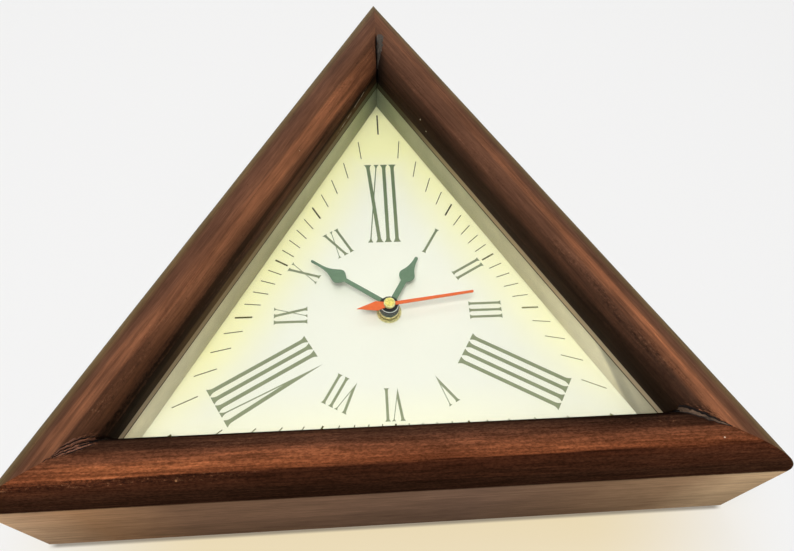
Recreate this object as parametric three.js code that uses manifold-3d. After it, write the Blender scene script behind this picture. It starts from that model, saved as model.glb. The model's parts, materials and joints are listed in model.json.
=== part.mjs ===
// Triangular wooden wall clock with a quartz movement.
// Millimetres, +X to the right, +Z up, the dial faces -Y and the back lies in the plane y = 0.
// The origin is the point of the keyhole plate that hangs on the wall screw.

import * as THREE from 'three';
import { mergeVertices } from 'three/addons/utils/BufferGeometryUtils.js';
import Module from 'manifold-3d';

const wasm = await Module();
wasm.setup();

// Clearances
const fitGap = 0.3;
const runGap = 0.2;
const mitreGap = 0.3;

// Case: three mitred rails round an equilateral triangle, sized by their inradius
const caseInradius = 110;
const railFace = 31;
const caseDepth = 94;
const crownHeight = 20;
const crownPower = 2.7;
const lipHeight = 5;
const dowelRadius = 3;
const dowelLength = 28;
const dowelInset = 15;
const dowelDepths = [21, 58];

// Glazing and dial
const glassThickness = 2;
const spacerInset = 1.3;
const spacerThickness = 4;
const spacerDepth = 17.1;
const sheetThickness = 0.5;
const boardThickness = 3.2;
const cleatWidth = 12;
const cleatDepth = 12;
const cleatScrewSpacing = 150;

// Screws
const screwShank = 3;
const screwHead = 6;
const screwHeadHeight = 1.8;
const screwLength = 16;

// Keyhole plate
const plateWidth = 32;
const plateHeight = 14;
const plateThickness = 1.5;
const plateInset = 11;
const plateScrewSpacing = 24;
const keyholeEntry = 8.4;
const keyholeSlot = 4.2;
const keyholeRise = 6;
const keyholePocket = 9;

// Hand arbors, from the outside in
const bushThread = 8;
const bushBore = 5.4;
const bushFlange = 12;
const bushFlangeHeight = 1;
const bushRise = 4.4;
const hourPipe = 5;
const minutePipe = 3.2;
const secondArbor = 1.2;
const wheelArbor = 1.2;

// Washers and nut
const rubberWasher = 16;
const rubberThickness = 1;
const brassWasher = 14.4;
const brassWasherThickness = 0.6;
const nutDiameter = 11.8;
const nutHeight = 2.8;

// Hands, in length from the axis, and the clock angles in degrees that they rest at
const bladeThickness = 0.5;
const hourLength = 37.6;
const hourHub = 11.4;
const hourHubHeight = 2.3;
const hourAngle = 29;
const minuteLength = 54;
const minuteHub = 10.8;
const minuteHubHeight = 2.1;
const minuteAngle = 305.2;
const bulbWidth = 9.3;
const bulbRise = 4.7;
const bulbTaper = 11.6;
const hourBulbCentre = 23.8;
const hourStemAtHub = 3.6;
const hourStemAtBulb = 3.3;
const hourNeck = 3.3;
const hourTip = 2.1;
const minuteBulbCentre = 34.7;
const minuteStemAtHub = 2.9;
const minuteStemAtBulb = 2.4;
const minuteNeck = 4.8;
const minuteTip = 1.5;
const secondLength = 49.4;
const secondStem = 2.2;
const secondTip = 1.5;
const secondTail = 18.8;
const secondTailWide = 6;
const secondTailShoulder = 7.4;
const secondAngle = 82.3;
const capDiameter = 6.7;
const capHeight = 1.6;

// Gear train: teeth of each wheel and pinion
const rotorLeaves = 8;
const intermediateTeeth = 48;
const intermediateLeaves = 8;
const secondTeeth = 40;
const secondLeaves = 8;
const thirdTeeth = 64;
const thirdLeaves = 8;
const centreTeeth = 60;
const cannonLeaves = 10;
const minuteTeeth = 30;
const minuteLeaves = 8;
const hourTeeth = 32;

// Gear train: modules, thickness and the direction of each axis seen from the front
const rotorModule = 0.3;
const secondModule = 0.36;
const centreModule = 0.3;
const gearThickness = 1;
const layerGap = 0.6;
const coverSpace = 1.8;
const thirdBearing = 110;
const intermediateBearing = 30;
const rotorBearing = 48;
const minuteBearing = 175;

// Movement case and electrics
const caseWall = 1.5;
const trainPlateThickness = 0.8;
const pivotDepth = 0.9;
const batteryDiameter = 14.2;
const batteryLength = 49.2;
const batteryNub = 5.4;
const batteryNubLength = 1.2;
const contactThickness = 0.4;
const contactWidth = 9;
const magnetDiameter = 5.6;
const magnetHeight = 2.4;
const statorThickness = 0.8;
const statorNeck = 1;
const statorArm = 3;
const coilCoreWidth = 2.4;
const coilCoreThickness = 1;
const bobbinWall = 0.5;
const coilWindingThickness = 0.7;
const boardWidth = 11;
const circuitThickness = 1.6;
const crystalDiameter = 2.2;
const crystalLength = 6.4;
const knobDiameter = 11;
const knobHeight = 4;
const knobSocket = 2.4;
const knobFluteDepth = 0.55;
const knobFlutes = 12;

// Roundness
const crownSteps = 18;
const roundSides = 24;
const pinSides = 12;

// Depth is measured forward from the wall, so a point at depth d has y = -d.
// The chain of depths runs from the front of the moulding back to the setting knob.
const lipBase = caseDepth - crownHeight;
const glassSeat = lipBase - lipHeight;
const glassFront = glassSeat - fitGap;
const glassBack = glassFront - glassThickness;
const spacerFront = glassBack - fitGap;
const spacerBack = spacerFront - spacerDepth;
const sheetFront = spacerBack - fitGap;
const sheetBack = sheetFront - sheetThickness;
const boardFront = sheetBack - fitGap;
const boardBack = boardFront - boardThickness;
const cleatFront = boardBack - fitGap;
const cleatBack = cleatFront - cleatDepth;
const rubberFront = boardBack - fitGap;
const rubberBack = rubberFront - rubberThickness;
const movementFront = rubberBack - fitGap;
const movementFloor = movementFront - caseWall;
const flangeFront = movementFloor - fitGap;
const flangeBack = flangeFront - bushFlangeHeight;
const hourLayer = flangeBack - fitGap - gearThickness;
const cannonLayer = hourLayer - layerGap - gearThickness;
const centreLayer = cannonLayer - layerGap - gearThickness;
const trainPlateFront = centreLayer - layerGap;
const trainPlateBack = trainPlateFront - trainPlateThickness;
const thirdLayer = trainPlateBack - layerGap - gearThickness;
const secondLayer = thirdLayer - layerGap - gearThickness;
const intermediateLayer = secondLayer - layerGap - gearThickness;
const movementBack = intermediateLayer - coverSpace;
const coverFront = movementBack - fitGap;
const coverBack = coverFront - caseWall;
const knobFront = coverBack - fitGap;
const knobBack = knobFront - knobHeight;

// The hand stack runs forward from the dial.
const brassWasherBack = sheetFront + fitGap;
const nutBack = brassWasherBack + brassWasherThickness + fitGap;
const bushFront = sheetFront + bushRise;
const hourHubBack = Math.max(bushFront, nutBack + nutHeight) + fitGap;
const hourHandFront = hourHubBack + hourHubHeight;
const minuteHubBack = hourHandFront + fitGap;
const minuteHandFront = minuteHubBack + minuteHubHeight;
const secondHandBack = minuteHandFront + fitGap + runGap;
const secondHandFront = secondHandBack + bladeThickness;
const capBack = secondHandFront + fitGap;
const capFront = capBack + capHeight;

// Inradii of the triangles that the case is built on
const lipInradius = caseInradius - railFace;
const spacerInradius = lipInradius + spacerInset;
const rebateInradius = spacerInradius + spacerThickness + fitGap;
const glazedInradius = rebateInradius - fitGap;
const cleatInradius = glazedInradius - cleatWidth;

// Heights above the hand axis at the apex of the back
const plateCentre = 2 * rebateInradius + plateInset;
const keyholeFoot = plateCentre - keyholeRise / 2;
const hangHeight = keyholeFoot + keyholeRise;

// Axes of the gear train, as points in x and z from the hand axis
const axisAt = (bearing, distance, from = { x: 0, z: 0 }) => ({
  x: from.x + distance * Math.cos(THREE.MathUtils.degToRad(bearing)),
  z: from.z + distance * Math.sin(THREE.MathUtils.degToRad(bearing)),
});
const addendum = 1;
const dedendum = 1.3;
const centreDistance = (teethA, teethB, gearModule) => (gearModule * (teethA + teethB)) / 2;
const tipRadius = (teeth, gearModule) => gearModule * (teeth / 2 + addendum);
const handAxis = { x: 0, z: 0 };
const thirdDistance = centreDistance(thirdLeaves, centreTeeth, centreModule);
const thirdModule = (2 * thirdDistance) / (secondLeaves + thirdTeeth);
const thirdAxis = axisAt(thirdBearing, thirdDistance);
const intermediateDistance = centreDistance(intermediateLeaves, secondTeeth, secondModule);
const intermediateAxis = axisAt(intermediateBearing, intermediateDistance);
const rotorDistance = centreDistance(rotorLeaves, intermediateTeeth, rotorModule);
const rotorAxis = axisAt(rotorBearing, rotorDistance, intermediateAxis);
const minuteDistance = tipRadius(centreTeeth, centreModule) + wheelArbor / 2 + 2 * runGap;
const motionModule = (2 * minuteDistance) / (cannonLeaves + minuteTeeth);
const hourModule = (2 * minuteDistance) / (minuteLeaves + hourTeeth);
const minuteAxis = axisAt(minuteBearing, minuteDistance);

// The movement case takes its size from the battery below and the train above.
const bayHeight = batteryDiameter + 2 * fitGap;
const motionLow = minuteAxis.z - tipRadius(minuteTeeth, motionModule);
const hourLow = -tipRadius(hourTeeth, hourModule);
const trainFoot = Math.min(motionLow, hourLow) - 2 * layerGap;
const bayTop = trainFoot - caseWall;
const bayFoot = bayTop - bayHeight;
const caseFoot = bayFoot - caseWall;
const thirdTop = thirdAxis.z + tipRadius(thirdTeeth, thirdModule);
const statorHole = magnetDiameter + 4 * runGap;
const statorTop = rotorAxis.z + statorHole / 2 + statorNeck;
const trainTop = Math.max(thirdTop, statorTop) + layerGap;
const movementTop = trainTop + caseWall;
const bayHalfWidth = (batteryLength + batteryNubLength) / 2 + contactThickness + 2 * fitGap;
const movementHalfWidth = bayHalfWidth + caseWall;

// A closed body from any closed geometry, with shared corners merged and faces turned outward
function solid(geometry) {
  const bare = geometry.index ? geometry.toNonIndexed() : geometry.clone();
  bare.deleteAttribute('normal');
  bare.deleteAttribute('uv');
  const merged = mergeVertices(bare, 1e-4);
  const corners = merged.attributes.position.array;
  const faces = [];
  let volume = 0;
  const point = (i) => new THREE.Vector3().fromArray(corners, 3 * i);
  for (let i = 0; i < merged.index.count; i += 3) {
    const [a, b, c] = [0, 1, 2].map((k) => merged.index.getX(i + k));
    if (a === b || b === c || c === a) continue;
    faces.push(a, b, c);
    volume += point(a).dot(point(b).cross(point(c)));
  }
  const outward = volume > 0 ? faces : faces.reverse();
  const mesh = { numProp: 3, vertProperties: new Float32Array(corners), triVerts: new Uint32Array(outward) };
  return new wasm.Manifold(new wasm.Mesh(mesh));
}

// The geometry of a closed body
function surface(body) {
  const mesh = body.getMesh();
  const geometry = new THREE.BufferGeometry();
  geometry.setAttribute('position', new THREE.BufferAttribute(mesh.vertProperties, 3));
  geometry.setIndex(new THREE.BufferAttribute(mesh.triVerts, 1));
  geometry.computeVertexNormals();
  return geometry;
}

// A flat piece: an outline in x and z, between two depths
function slab(shape, back, front, curveSegments = 8) {
  const settings = { depth: front - back, bevelEnabled: false, curveSegments };
  const geometry = new THREE.ExtrudeGeometry(shape, settings);
  geometry.rotateX(Math.PI / 2);
  geometry.translate(0, -back, 0);
  return solid(geometry);
}

// A rectangular block between two corners, each written as x, depth and z
function block(low, high) {
  const geometry = new THREE.BoxGeometry(high[0] - low[0], high[1] - low[1], high[2] - low[2]);
  geometry.translate((low[0] + high[0]) / 2, -(low[1] + high[1]) / 2, (low[2] + high[2]) / 2);
  return solid(geometry);
}

// A round bar along the depth, at an axis, between two depths
function bar(diameter, back, front, sides = roundSides, axis = handAxis) {
  const geometry = new THREE.CylinderGeometry(diameter / 2, diameter / 2, front - back, sides);
  geometry.translate(axis.x, -(back + front) / 2, axis.z);
  return solid(geometry);
}

// A turned piece: radius and depth pairs that close on themselves or on the axis
function turned(profile, sides = roundSides) {
  const points = profile.map(([radius, depth]) => new THREE.Vector2(radius, -depth));
  return solid(new THREE.LatheGeometry(points, sides));
}

// A ring between two depths
const ring = (outer, inner, back, front, sides = roundSides, axis = handAxis) =>
  bar(outer, back, front, sides, axis).subtract(bar(inner, back - 1, front + 1, sides, axis));

// An equilateral triangle of a given inradius, point up
function triangle(inradius) {
  const half = inradius * Math.sqrt(3);
  const shape = new THREE.Shape();
  shape.moveTo(-half, -inradius);
  shape.lineTo(half, -inradius);
  shape.lineTo(0, 2 * inradius);
  shape.closePath();
  return shape;
}

// A straight strip of a given section, mitred at both ends to meet its neighbours at 60 degrees.
// The section is drawn as inradius and depth. The strip is made below the axis and then turned.
function mitred(section, turn) {
  const geometry = new THREE.ExtrudeGeometry(section, { depth: 1, bevelEnabled: false });
  const place = geometry.attributes.position;
  for (let i = 0; i < place.count; i += 1) {
    const inradius = place.getX(i);
    const depth = place.getY(i);
    const side = 2 * place.getZ(i) - 1;
    place.setXYZ(i, side * (inradius * Math.sqrt(3) - mitreGap), -depth, -inradius);
  }
  geometry.rotateY(turn);
  return solid(geometry);
}

const railTurns = { bottom: 0, left: (2 * Math.PI) / 3, right: (-2 * Math.PI) / 3 };
const cornerTurns = { top: 0, right: (2 * Math.PI) / 3, left: (-2 * Math.PI) / 3 };

// A rectangular section, as inradius and depth
function strip(inner, outer, back, front) {
  const section = new THREE.Shape();
  section.moveTo(inner, back);
  section.lineTo(outer, back);
  section.lineTo(outer, front);
  section.lineTo(inner, front);
  section.closePath();
  return section;
}

// The rail's section: flat outer side, rounded crown, lip and the rebate behind it
function railSection() {
  const middle = caseInradius - railFace / 2;
  const section = new THREE.Shape();
  section.moveTo(rebateInradius, 0);
  section.lineTo(caseInradius, 0);
  for (let i = 0; i <= crownSteps; i += 1) {
    const angle = (Math.PI * i) / crownSteps;
    const across = Math.sign(Math.cos(angle)) * Math.abs(Math.cos(angle)) ** (2 / crownPower);
    const rise = Math.sin(angle) ** (2 / crownPower);
    section.lineTo(middle + (railFace / 2) * across, lipBase + crownHeight * rise);
  }
  section.lineTo(lipInradius, glassSeat);
  section.lineTo(rebateInradius, glassSeat);
  section.closePath();
  return section;
}

// Dowels lie square across each mitre, at two depths.
function dowel(depth, turn, diameter, length) {
  const geometry = new THREE.CylinderGeometry(diameter / 2, diameter / 2, length, pinSides);
  geometry.rotateZ(Math.PI / 2);
  geometry.translate(0, -depth, 2 * rebateInradius + dowelInset);
  geometry.rotateY(turn);
  return solid(geometry);
}

// A countersunk screw along +Y from the back of its head, tip forward, at the origin
function screwProfile(gap = 0) {
  const headBack = 0;
  const headFront = screwHeadHeight;
  const tip = screwLength + gap;
  const shank = screwShank / 2 + gap;
  return [
    [0, headBack - gap],
    [screwHead / 2 + gap, headBack - gap],
    [screwHead / 2 + gap, headBack + gap],
    [shank, headFront + gap],
    [shank, tip - screwShank],
    [0, tip],
  ];
}

// Screws and the holes that take them, moved to their places
function placedScrew(matrix, gap = 0) {
  return turned(screwProfile(gap), pinSides).transform(matrix.elements);
}

// Cleat screws run outward from the cleat into the rail.
function cleatScrewPlace(turn, along) {
  const place = new THREE.Matrix4().makeRotationY(turn);
  const depth = (cleatFront + cleatBack) / 2;
  place.multiply(new THREE.Matrix4().makeTranslation(along, -depth, -cleatInradius));
  place.multiply(new THREE.Matrix4().makeRotationX(Math.PI / 2));
  return place;
}

const plateScrewPlace = (along) => new THREE.Matrix4().makeTranslation(along, 0, plateCentre);

// A gear outline with straight-flanked teeth, one tooth centred on the phase angle
function gear(teeth, gearModule, share, phase, layer, axis) {
  const count = Math.round(teeth);
  const shape = new THREE.Shape();
  const tip = gearModule * (count / 2 + addendum);
  const root = gearModule * (count / 2 - dedendum);
  const step = (2 * Math.PI) / count;
  const tipHalf = share.tip * step;
  const rootHalf = share.root * step;
  for (let i = 0; i < count; i += 1) {
    const middle = phase + i * step;
    const flank = [[root, -rootHalf], [tip, -tipHalf], [tip, tipHalf], [root, rootHalf]];
    flank.forEach(([radius, turn], k) => {
      const x = radius * Math.cos(middle + turn);
      const y = radius * Math.sin(middle + turn);
      if (i === 0 && k === 0) shape.moveTo(x, y);
      else shape.lineTo(x, y);
    });
  }
  shape.closePath();
  return slab(shape, layer, layer + gearThickness).translate([axis.x, 0, axis.z]);
}

// Half widths of a tooth at its tip and root, as shares of the pitch
const wheelTooth = { tip: 0.1, root: 0.3 };
const pinionLeaf = { tip: 0.09, root: 0.25 };

// Phase angles that put a tooth of the wheel into a gap of the pinion
const meshAngle = (from, to) => Math.atan2(to.z - from.z, to.x - from.x);
const wheelPhase = (wheelAxis, pinionAxis) => meshAngle(wheelAxis, pinionAxis);
const pinionPhase = (pinionAxis, wheelAxis, leaves) => meshAngle(pinionAxis, wheelAxis) + Math.PI / leaves;

const pivot = (axis) => bar(wheelArbor + 2 * runGap, coverFront - pivotDepth, coverFront + 1, pinSides, axis);
const frontPivot = (axis) =>
  bar(wheelArbor + 2 * runGap, movementFloor - 1, movementFloor + pivotDepth, pinSides, axis);
const plateHole = (axis, diameter) =>
  bar(diameter + 2 * runGap, trainPlateBack - 1, trainPlateFront + 1, pinSides, axis);
const pivotTip = pivotDepth - runGap;

// Materials
const paint = (color, roughness, metalness = 0) =>
  new THREE.MeshStandardMaterial({ color, roughness, metalness });
const wood = paint('#4a2618', 0.45);
const rawWood = paint('#8a6a4a', 0.8);
const glassPaint = paint('#dfe8e4', 0.05);
glassPaint.transparent = true;
glassPaint.opacity = 0.3;
const card = paint('#b9b8a4', 0.8);
const paper = paint('#f1efd8', 0.8);
const hardboard = paint('#6b4a30', 0.85);
const steel = paint('#a8a9aa', 0.35, 1);
const brass = paint('#c9a341', 0.3, 1);
const copper = paint('#a8572a', 0.4, 1);
const blackPlastic = paint('#17181a', 0.5);
const gearPlastic = paint('#e6e2d4', 0.5);
const rubber = paint('#222222', 0.9);
const circuitGreen = paint('#2d6a45', 0.6);
const batterySleeve = paint('#3b5a78', 0.4);
const handPaint = paint('#2f3d38', 0.5);
const redPaint = paint('#e2552d', 0.5);

const clock = new THREE.Group();
const works = new THREE.Group();
works.position.z = -hangHeight;
clock.add(works);

function add(name, body, material) {
  const mesh = new THREE.Mesh(surface(body), material);
  mesh.name = name;
  works.add(mesh);
  return mesh;
}

// Case rails, with their dowel holes, screw holes and the pocket behind the keyhole plate
function plateRecess() {
  const half = plateWidth / 2 + fitGap;
  const low = plateCentre - plateHeight / 2 - fitGap;
  const high = plateCentre + plateHeight / 2 + fitGap;
  const pocketHalf = keyholeEntry / 2 + fitGap;
  const recess = block([-half, -1, low], [half, plateThickness + fitGap, high]);
  const pocketLow = keyholeFoot - pocketHalf;
  const pocketHigh = hangHeight + pocketHalf;
  return recess.add(block([-pocketHalf, 0, pocketLow], [pocketHalf, keyholePocket, pocketHigh]));
}

const dowelHoles = [];
Object.values(cornerTurns).forEach((turn) => {
  dowelDepths.forEach((depth) => {
    dowelHoles.push(dowel(depth, turn, 2 * dowelRadius + 2 * runGap, dowelLength + 2 * runGap));
  });
});

Object.entries(railTurns).forEach(([name, turn]) => {
  let rail = mitred(railSection(), turn);
  dowelHoles.forEach((hole) => {
    rail = rail.subtract(hole);
  });
  [-1, 1].forEach((end) => {
    rail = rail.subtract(placedScrew(cleatScrewPlace(turn, (end * cleatScrewSpacing) / 2), runGap));
    rail = rail.subtract(placedScrew(plateScrewPlace((end * plateScrewSpacing) / 2), runGap));
  });
  add(`rail_${name}`, rail.subtract(plateRecess()), wood);
});

Object.entries(cornerTurns).forEach(([name, turn]) => {
  dowelDepths.forEach((depth, i) => {
    const place = i === 0 ? 'rear' : 'front';
    add(`dowel_${name}_${place}`, dowel(depth, turn, 2 * dowelRadius, dowelLength), rawWood);
  });
});

// Glass, spacers, dial and the cleats that hold them in the rebate
add('glass_pane', slab(triangle(glazedInradius), glassBack, glassFront), glassPaint);

Object.entries(railTurns).forEach(([name, turn]) => {
  const section = strip(spacerInradius, glazedInradius, spacerBack, spacerFront);
  add(`spacer_${name}`, mitred(section, turn), card);
});

const bushHole = bar(bushThread + 2 * fitGap, boardBack - 1, sheetFront + 1);
add('dial_sheet', slab(triangle(glazedInradius), sheetBack, sheetFront).subtract(bushHole), paper);
add('dial_board', slab(triangle(glazedInradius), boardBack, boardFront).subtract(bushHole), hardboard);

Object.entries(railTurns).forEach(([name, turn]) => {
  let cleat = mitred(strip(cleatInradius, glazedInradius, cleatBack, cleatFront), turn);
  [['a', -1], ['b', 1]].forEach(([mark, end]) => {
    const place = cleatScrewPlace(turn, (end * cleatScrewSpacing) / 2);
    cleat = cleat.subtract(placedScrew(place, runGap));
    add(`cleat_screw_${name}_${mark}`, placedScrew(place), steel);
  });
  add(`cleat_${name}`, cleat, rawWood);
});

// Keyhole plate: a round entry for the screw head with a slot rising from it
function keyholePlate() {
  const low = plateCentre - plateHeight / 2;
  const high = plateCentre + plateHeight / 2;
  const outline = new THREE.Shape();
  outline.moveTo(-plateWidth / 2, low);
  outline.lineTo(plateWidth / 2, low);
  outline.lineTo(plateWidth / 2, high);
  outline.lineTo(-plateWidth / 2, high);
  outline.closePath();
  let plate = slab(outline, 0, plateThickness);
  const entry = { x: 0, z: keyholeFoot };
  plate = plate.subtract(bar(keyholeEntry, -1, plateThickness + 1, roundSides, entry));
  const half = keyholeSlot / 2;
  plate = plate.subtract(block([-half, -1, keyholeFoot], [half, plateThickness + 1, hangHeight]));
  [-1, 1].forEach((end) => {
    plate = plate.subtract(placedScrew(plateScrewPlace((end * plateScrewSpacing) / 2), runGap));
  });
  return plate;
}

add('keyhole_plate', keyholePlate(), steel);
[['left', -1], ['right', 1]].forEach(([name, end]) => {
  add(`plate_screw_${name}`, placedScrew(plateScrewPlace((end * plateScrewSpacing) / 2)), steel);
});

// Movement case: a tray with the train above and the battery bay below, open at the back
function movementCase() {
  const outer = block(
    [-movementHalfWidth, movementBack, caseFoot],
    [movementHalfWidth, movementFront, movementTop],
  );
  const train = block([-bayHalfWidth, movementBack - 1, trainFoot], [bayHalfWidth, movementFloor, trainTop]);
  const bay = block([-bayHalfWidth, movementBack - 1, bayFoot], [bayHalfWidth, movementFloor, bayTop]);
  let tray = outer.subtract(train).subtract(bay);
  tray = tray.subtract(bar(bushThread + 2 * fitGap, movementFloor - 1, movementFront + 1));
  return tray.subtract(frontPivot(thirdAxis)).subtract(frontPivot(minuteAxis));
}

// The cover closes the train and leaves the battery bay open.
function movementCover() {
  const low = [-movementHalfWidth, coverBack, bayTop];
  let cover = block(low, [movementHalfWidth, coverFront, movementTop]);
  [handAxis, thirdAxis, intermediateAxis, rotorAxis].forEach((axis) => {
    cover = cover.subtract(pivot(axis));
  });
  return cover.subtract(bar(wheelArbor + 2 * runGap, coverBack - 1, coverFront + 1, pinSides, minuteAxis));
}

add('movement_case', movementCase(), blackPlastic);
add('movement_cover', movementCover(), blackPlastic);

// The train plate crosses the case between the hand wheels and the driven wheels.
function trainPlate() {
  const low = [-bayHalfWidth + fitGap, trainPlateBack, trainFoot + fitGap];
  const high = [bayHalfWidth - fitGap, trainPlateFront, trainTop - fitGap];
  let plate = block(low, high);
  plate = plate.subtract(plateHole(handAxis, minutePipe));
  [thirdAxis, intermediateAxis, rotorAxis, minuteAxis].forEach((axis) => {
    plate = plate.subtract(plateHole(axis, wheelArbor));
  });
  return plate;
}

add('train_plate', trainPlate(), gearPlastic);

// Bush, washers and nut that clamp the movement to the dial board
const bush = bar(bushThread, flangeBack, bushFront).add(bar(bushFlange, flangeBack, flangeFront));
add('threaded_bush', bush.subtract(bar(bushBore, flangeBack - 1, bushFront + 1)), brass);
add('rubber_washer', ring(rubberWasher, bushThread + 2 * fitGap, rubberBack, rubberFront), rubber);

const brassWasherFront = brassWasherBack + brassWasherThickness;
add('brass_washer', ring(brassWasher, bushThread + 2 * fitGap, brassWasherBack, brassWasherFront), brass);

// The nut is round, with a rounded front shoulder.
function roundNut() {
  const bore = bushThread / 2 + fitGap;
  const outer = nutDiameter / 2;
  const shoulder = Math.min(nutHeight, outer - bore) / 2;
  const profile = [[bore, nutBack], [outer, nutBack]];
  for (let i = 0; i <= 3; i += 1) {
    const angle = (Math.PI / 2) * (i / 3);
    const radius = outer - shoulder + shoulder * Math.cos(angle);
    profile.push([radius, nutBack + nutHeight - shoulder + shoulder * Math.sin(angle)]);
  }
  profile.push([bore, nutBack + nutHeight], [bore, nutBack]);
  return turned(profile);
}

add('brass_nut', roundNut(), brass);

// Hour wheel with its pipe, minute arbor with its cannon pinion, and the friction-held centre wheel
const hourPhase = wheelPhase(handAxis, minuteAxis);
const hourWheel = gear(hourTeeth, hourModule, wheelTooth, hourPhase, hourLayer, handAxis)
  .add(bar(hourPipe, hourLayer, hourHandFront))
  .subtract(bar(minutePipe + 2 * runGap, hourLayer - 1, hourHandFront + 1));
add('hour_wheel', hourWheel, gearPlastic);

const cannonPhase = pinionPhase(handAxis, minuteAxis, cannonLeaves);
const minuteArborBack = trainPlateBack;
const minuteArbor = bar(minutePipe, minuteArborBack, minuteHandFront)
  .add(gear(cannonLeaves, motionModule, pinionLeaf, cannonPhase, cannonLayer, handAxis))
  .subtract(bar(secondArbor + 2 * runGap, minuteArborBack - 1, minuteHandFront + 1, pinSides));
add('minute_arbor', minuteArbor, brass);

const centrePhase = wheelPhase(handAxis, thirdAxis);
const centreWheel = gear(centreTeeth, centreModule, wheelTooth, centrePhase, centreLayer, handAxis)
  .subtract(bar(minutePipe + 2 * runGap, centreLayer - 1, centreLayer + gearThickness + 1));
add('centre_wheel', centreWheel, gearPlastic);

// Minute wheel: the idler between cannon pinion and hour wheel, on the setting arbor
const minutePhase = wheelPhase(minuteAxis, handAxis);
const minutePinionPhase = pinionPhase(minuteAxis, handAxis, minuteLeaves);
const minuteWheel = gear(minuteTeeth, motionModule, wheelTooth, minutePhase, cannonLayer, minuteAxis)
  .add(gear(minuteLeaves, hourModule, pinionLeaf, minutePinionPhase, hourLayer, minuteAxis))
  .add(bar(2 * wheelArbor, cannonLayer, hourLayer + gearThickness, pinSides, minuteAxis))
  .add(bar(wheelArbor, knobFront - knobSocket + runGap, movementFloor + pivotTip, pinSides, minuteAxis));
add('minute_wheel', minuteWheel, gearPlastic);

// Setting knob: a fluted wheel behind the cover, pressed on the setting arbor
function settingKnob() {
  const outline = new THREE.Shape();
  const steps = 2 * knobFlutes;
  for (let i = 0; i < steps; i += 1) {
    const angle = (2 * Math.PI * i) / steps;
    const radius = knobDiameter / 2 - (i % 2) * knobFluteDepth;
    const [x, y] = [radius * Math.cos(angle), radius * Math.sin(angle)];
    if (i === 0) outline.moveTo(x, y);
    else outline.lineTo(x, y);
  }
  outline.closePath();
  const knob = slab(outline, knobBack, knobFront).translate([minuteAxis.x, 0, minuteAxis.z]);
  const socketBack = knobFront - knobSocket;
  return knob.subtract(bar(wheelArbor + 2 * runGap, socketBack, knobFront + 1, pinSides, minuteAxis));
}

add('setting_knob', settingKnob(), blackPlastic);

// Third wheel, between the seconds pinion and the centre wheel
const thirdPhase = wheelPhase(thirdAxis, handAxis);
const thirdPinionPhase = pinionPhase(thirdAxis, handAxis, thirdLeaves);
const thirdWheel = gear(thirdTeeth, thirdModule, wheelTooth, thirdPhase, thirdLayer, thirdAxis)
  .add(gear(thirdLeaves, centreModule, pinionLeaf, thirdPinionPhase, centreLayer, thirdAxis))
  .add(bar(wheelArbor, coverFront - pivotTip, movementFloor + pivotTip, pinSides, thirdAxis));
add('third_wheel', thirdWheel, gearPlastic);

// Seconds wheel on the long arbor that carries the second hand
const secondPhase = wheelPhase(handAxis, intermediateAxis);
const secondPinionPhase = pinionPhase(handAxis, thirdAxis, secondLeaves);
const secondWheel = gear(secondTeeth, secondModule, wheelTooth, secondPhase, secondLayer, handAxis)
  .add(gear(secondLeaves, thirdModule, pinionLeaf, secondPinionPhase, thirdLayer, handAxis))
  .add(bar(secondArbor, coverFront - pivotTip, secondHandFront + fitGap, pinSides));
add('second_wheel', secondWheel, gearPlastic);

// Intermediate wheel, between the rotor and the seconds wheel
const intermediatePhase = wheelPhase(intermediateAxis, rotorAxis);
const intermediatePinionPhase = pinionPhase(intermediateAxis, handAxis, intermediateLeaves);
const intermediatePinion = gear(
  intermediateLeaves,
  secondModule,
  pinionLeaf,
  intermediatePinionPhase,
  secondLayer,
  intermediateAxis,
);
const intermediateWheel = gear(
  intermediateTeeth,
  rotorModule,
  wheelTooth,
  intermediatePhase,
  intermediateLayer,
  intermediateAxis,
)
  .add(intermediatePinion)
  .add(bar(wheelArbor, coverFront - pivotTip, trainPlateBack + pivotTip, pinSides, intermediateAxis));
add('intermediate_wheel', intermediateWheel, gearPlastic);

// Rotor: a round magnet on its arbor with the first pinion
const rotorPhase = pinionPhase(rotorAxis, intermediateAxis, rotorLeaves);
const magnetBack = intermediateLayer + gearThickness + layerGap;
const rotor = bar(magnetDiameter, magnetBack, magnetBack + magnetHeight, roundSides, rotorAxis)
  .add(gear(rotorLeaves, rotorModule, pinionLeaf, rotorPhase, intermediateLayer, rotorAxis))
  .add(bar(wheelArbor, coverFront - pivotTip, trainPlateBack + pivotTip, pinSides, rotorAxis));
add('rotor', rotor, steel);

// Stator: a C-shaped plate round the rotor whose arms reach the ends of the coil core
const coreMiddle = (trainPlateBack + coverFront) / 2;
const coreFront = coreMiddle + coilCoreThickness / 2;
const statorBack = coreFront + runGap;
const statorFront = statorBack + statorThickness;
const statorLeft = rotorAxis.x - statorHole / 2 - statorNeck;
const statorRight = bayHalfWidth - fitGap;
const statorBlockRight = rotorAxis.x + statorHole / 2 + statorNeck;
const statorBlockFoot = rotorAxis.z - statorHole / 2 - statorNeck;
const statorFoot = trainFoot + fitGap;
const coilTop = statorTop - statorArm - fitGap;
const coilFoot = statorFoot + statorArm + fitGap;

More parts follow.
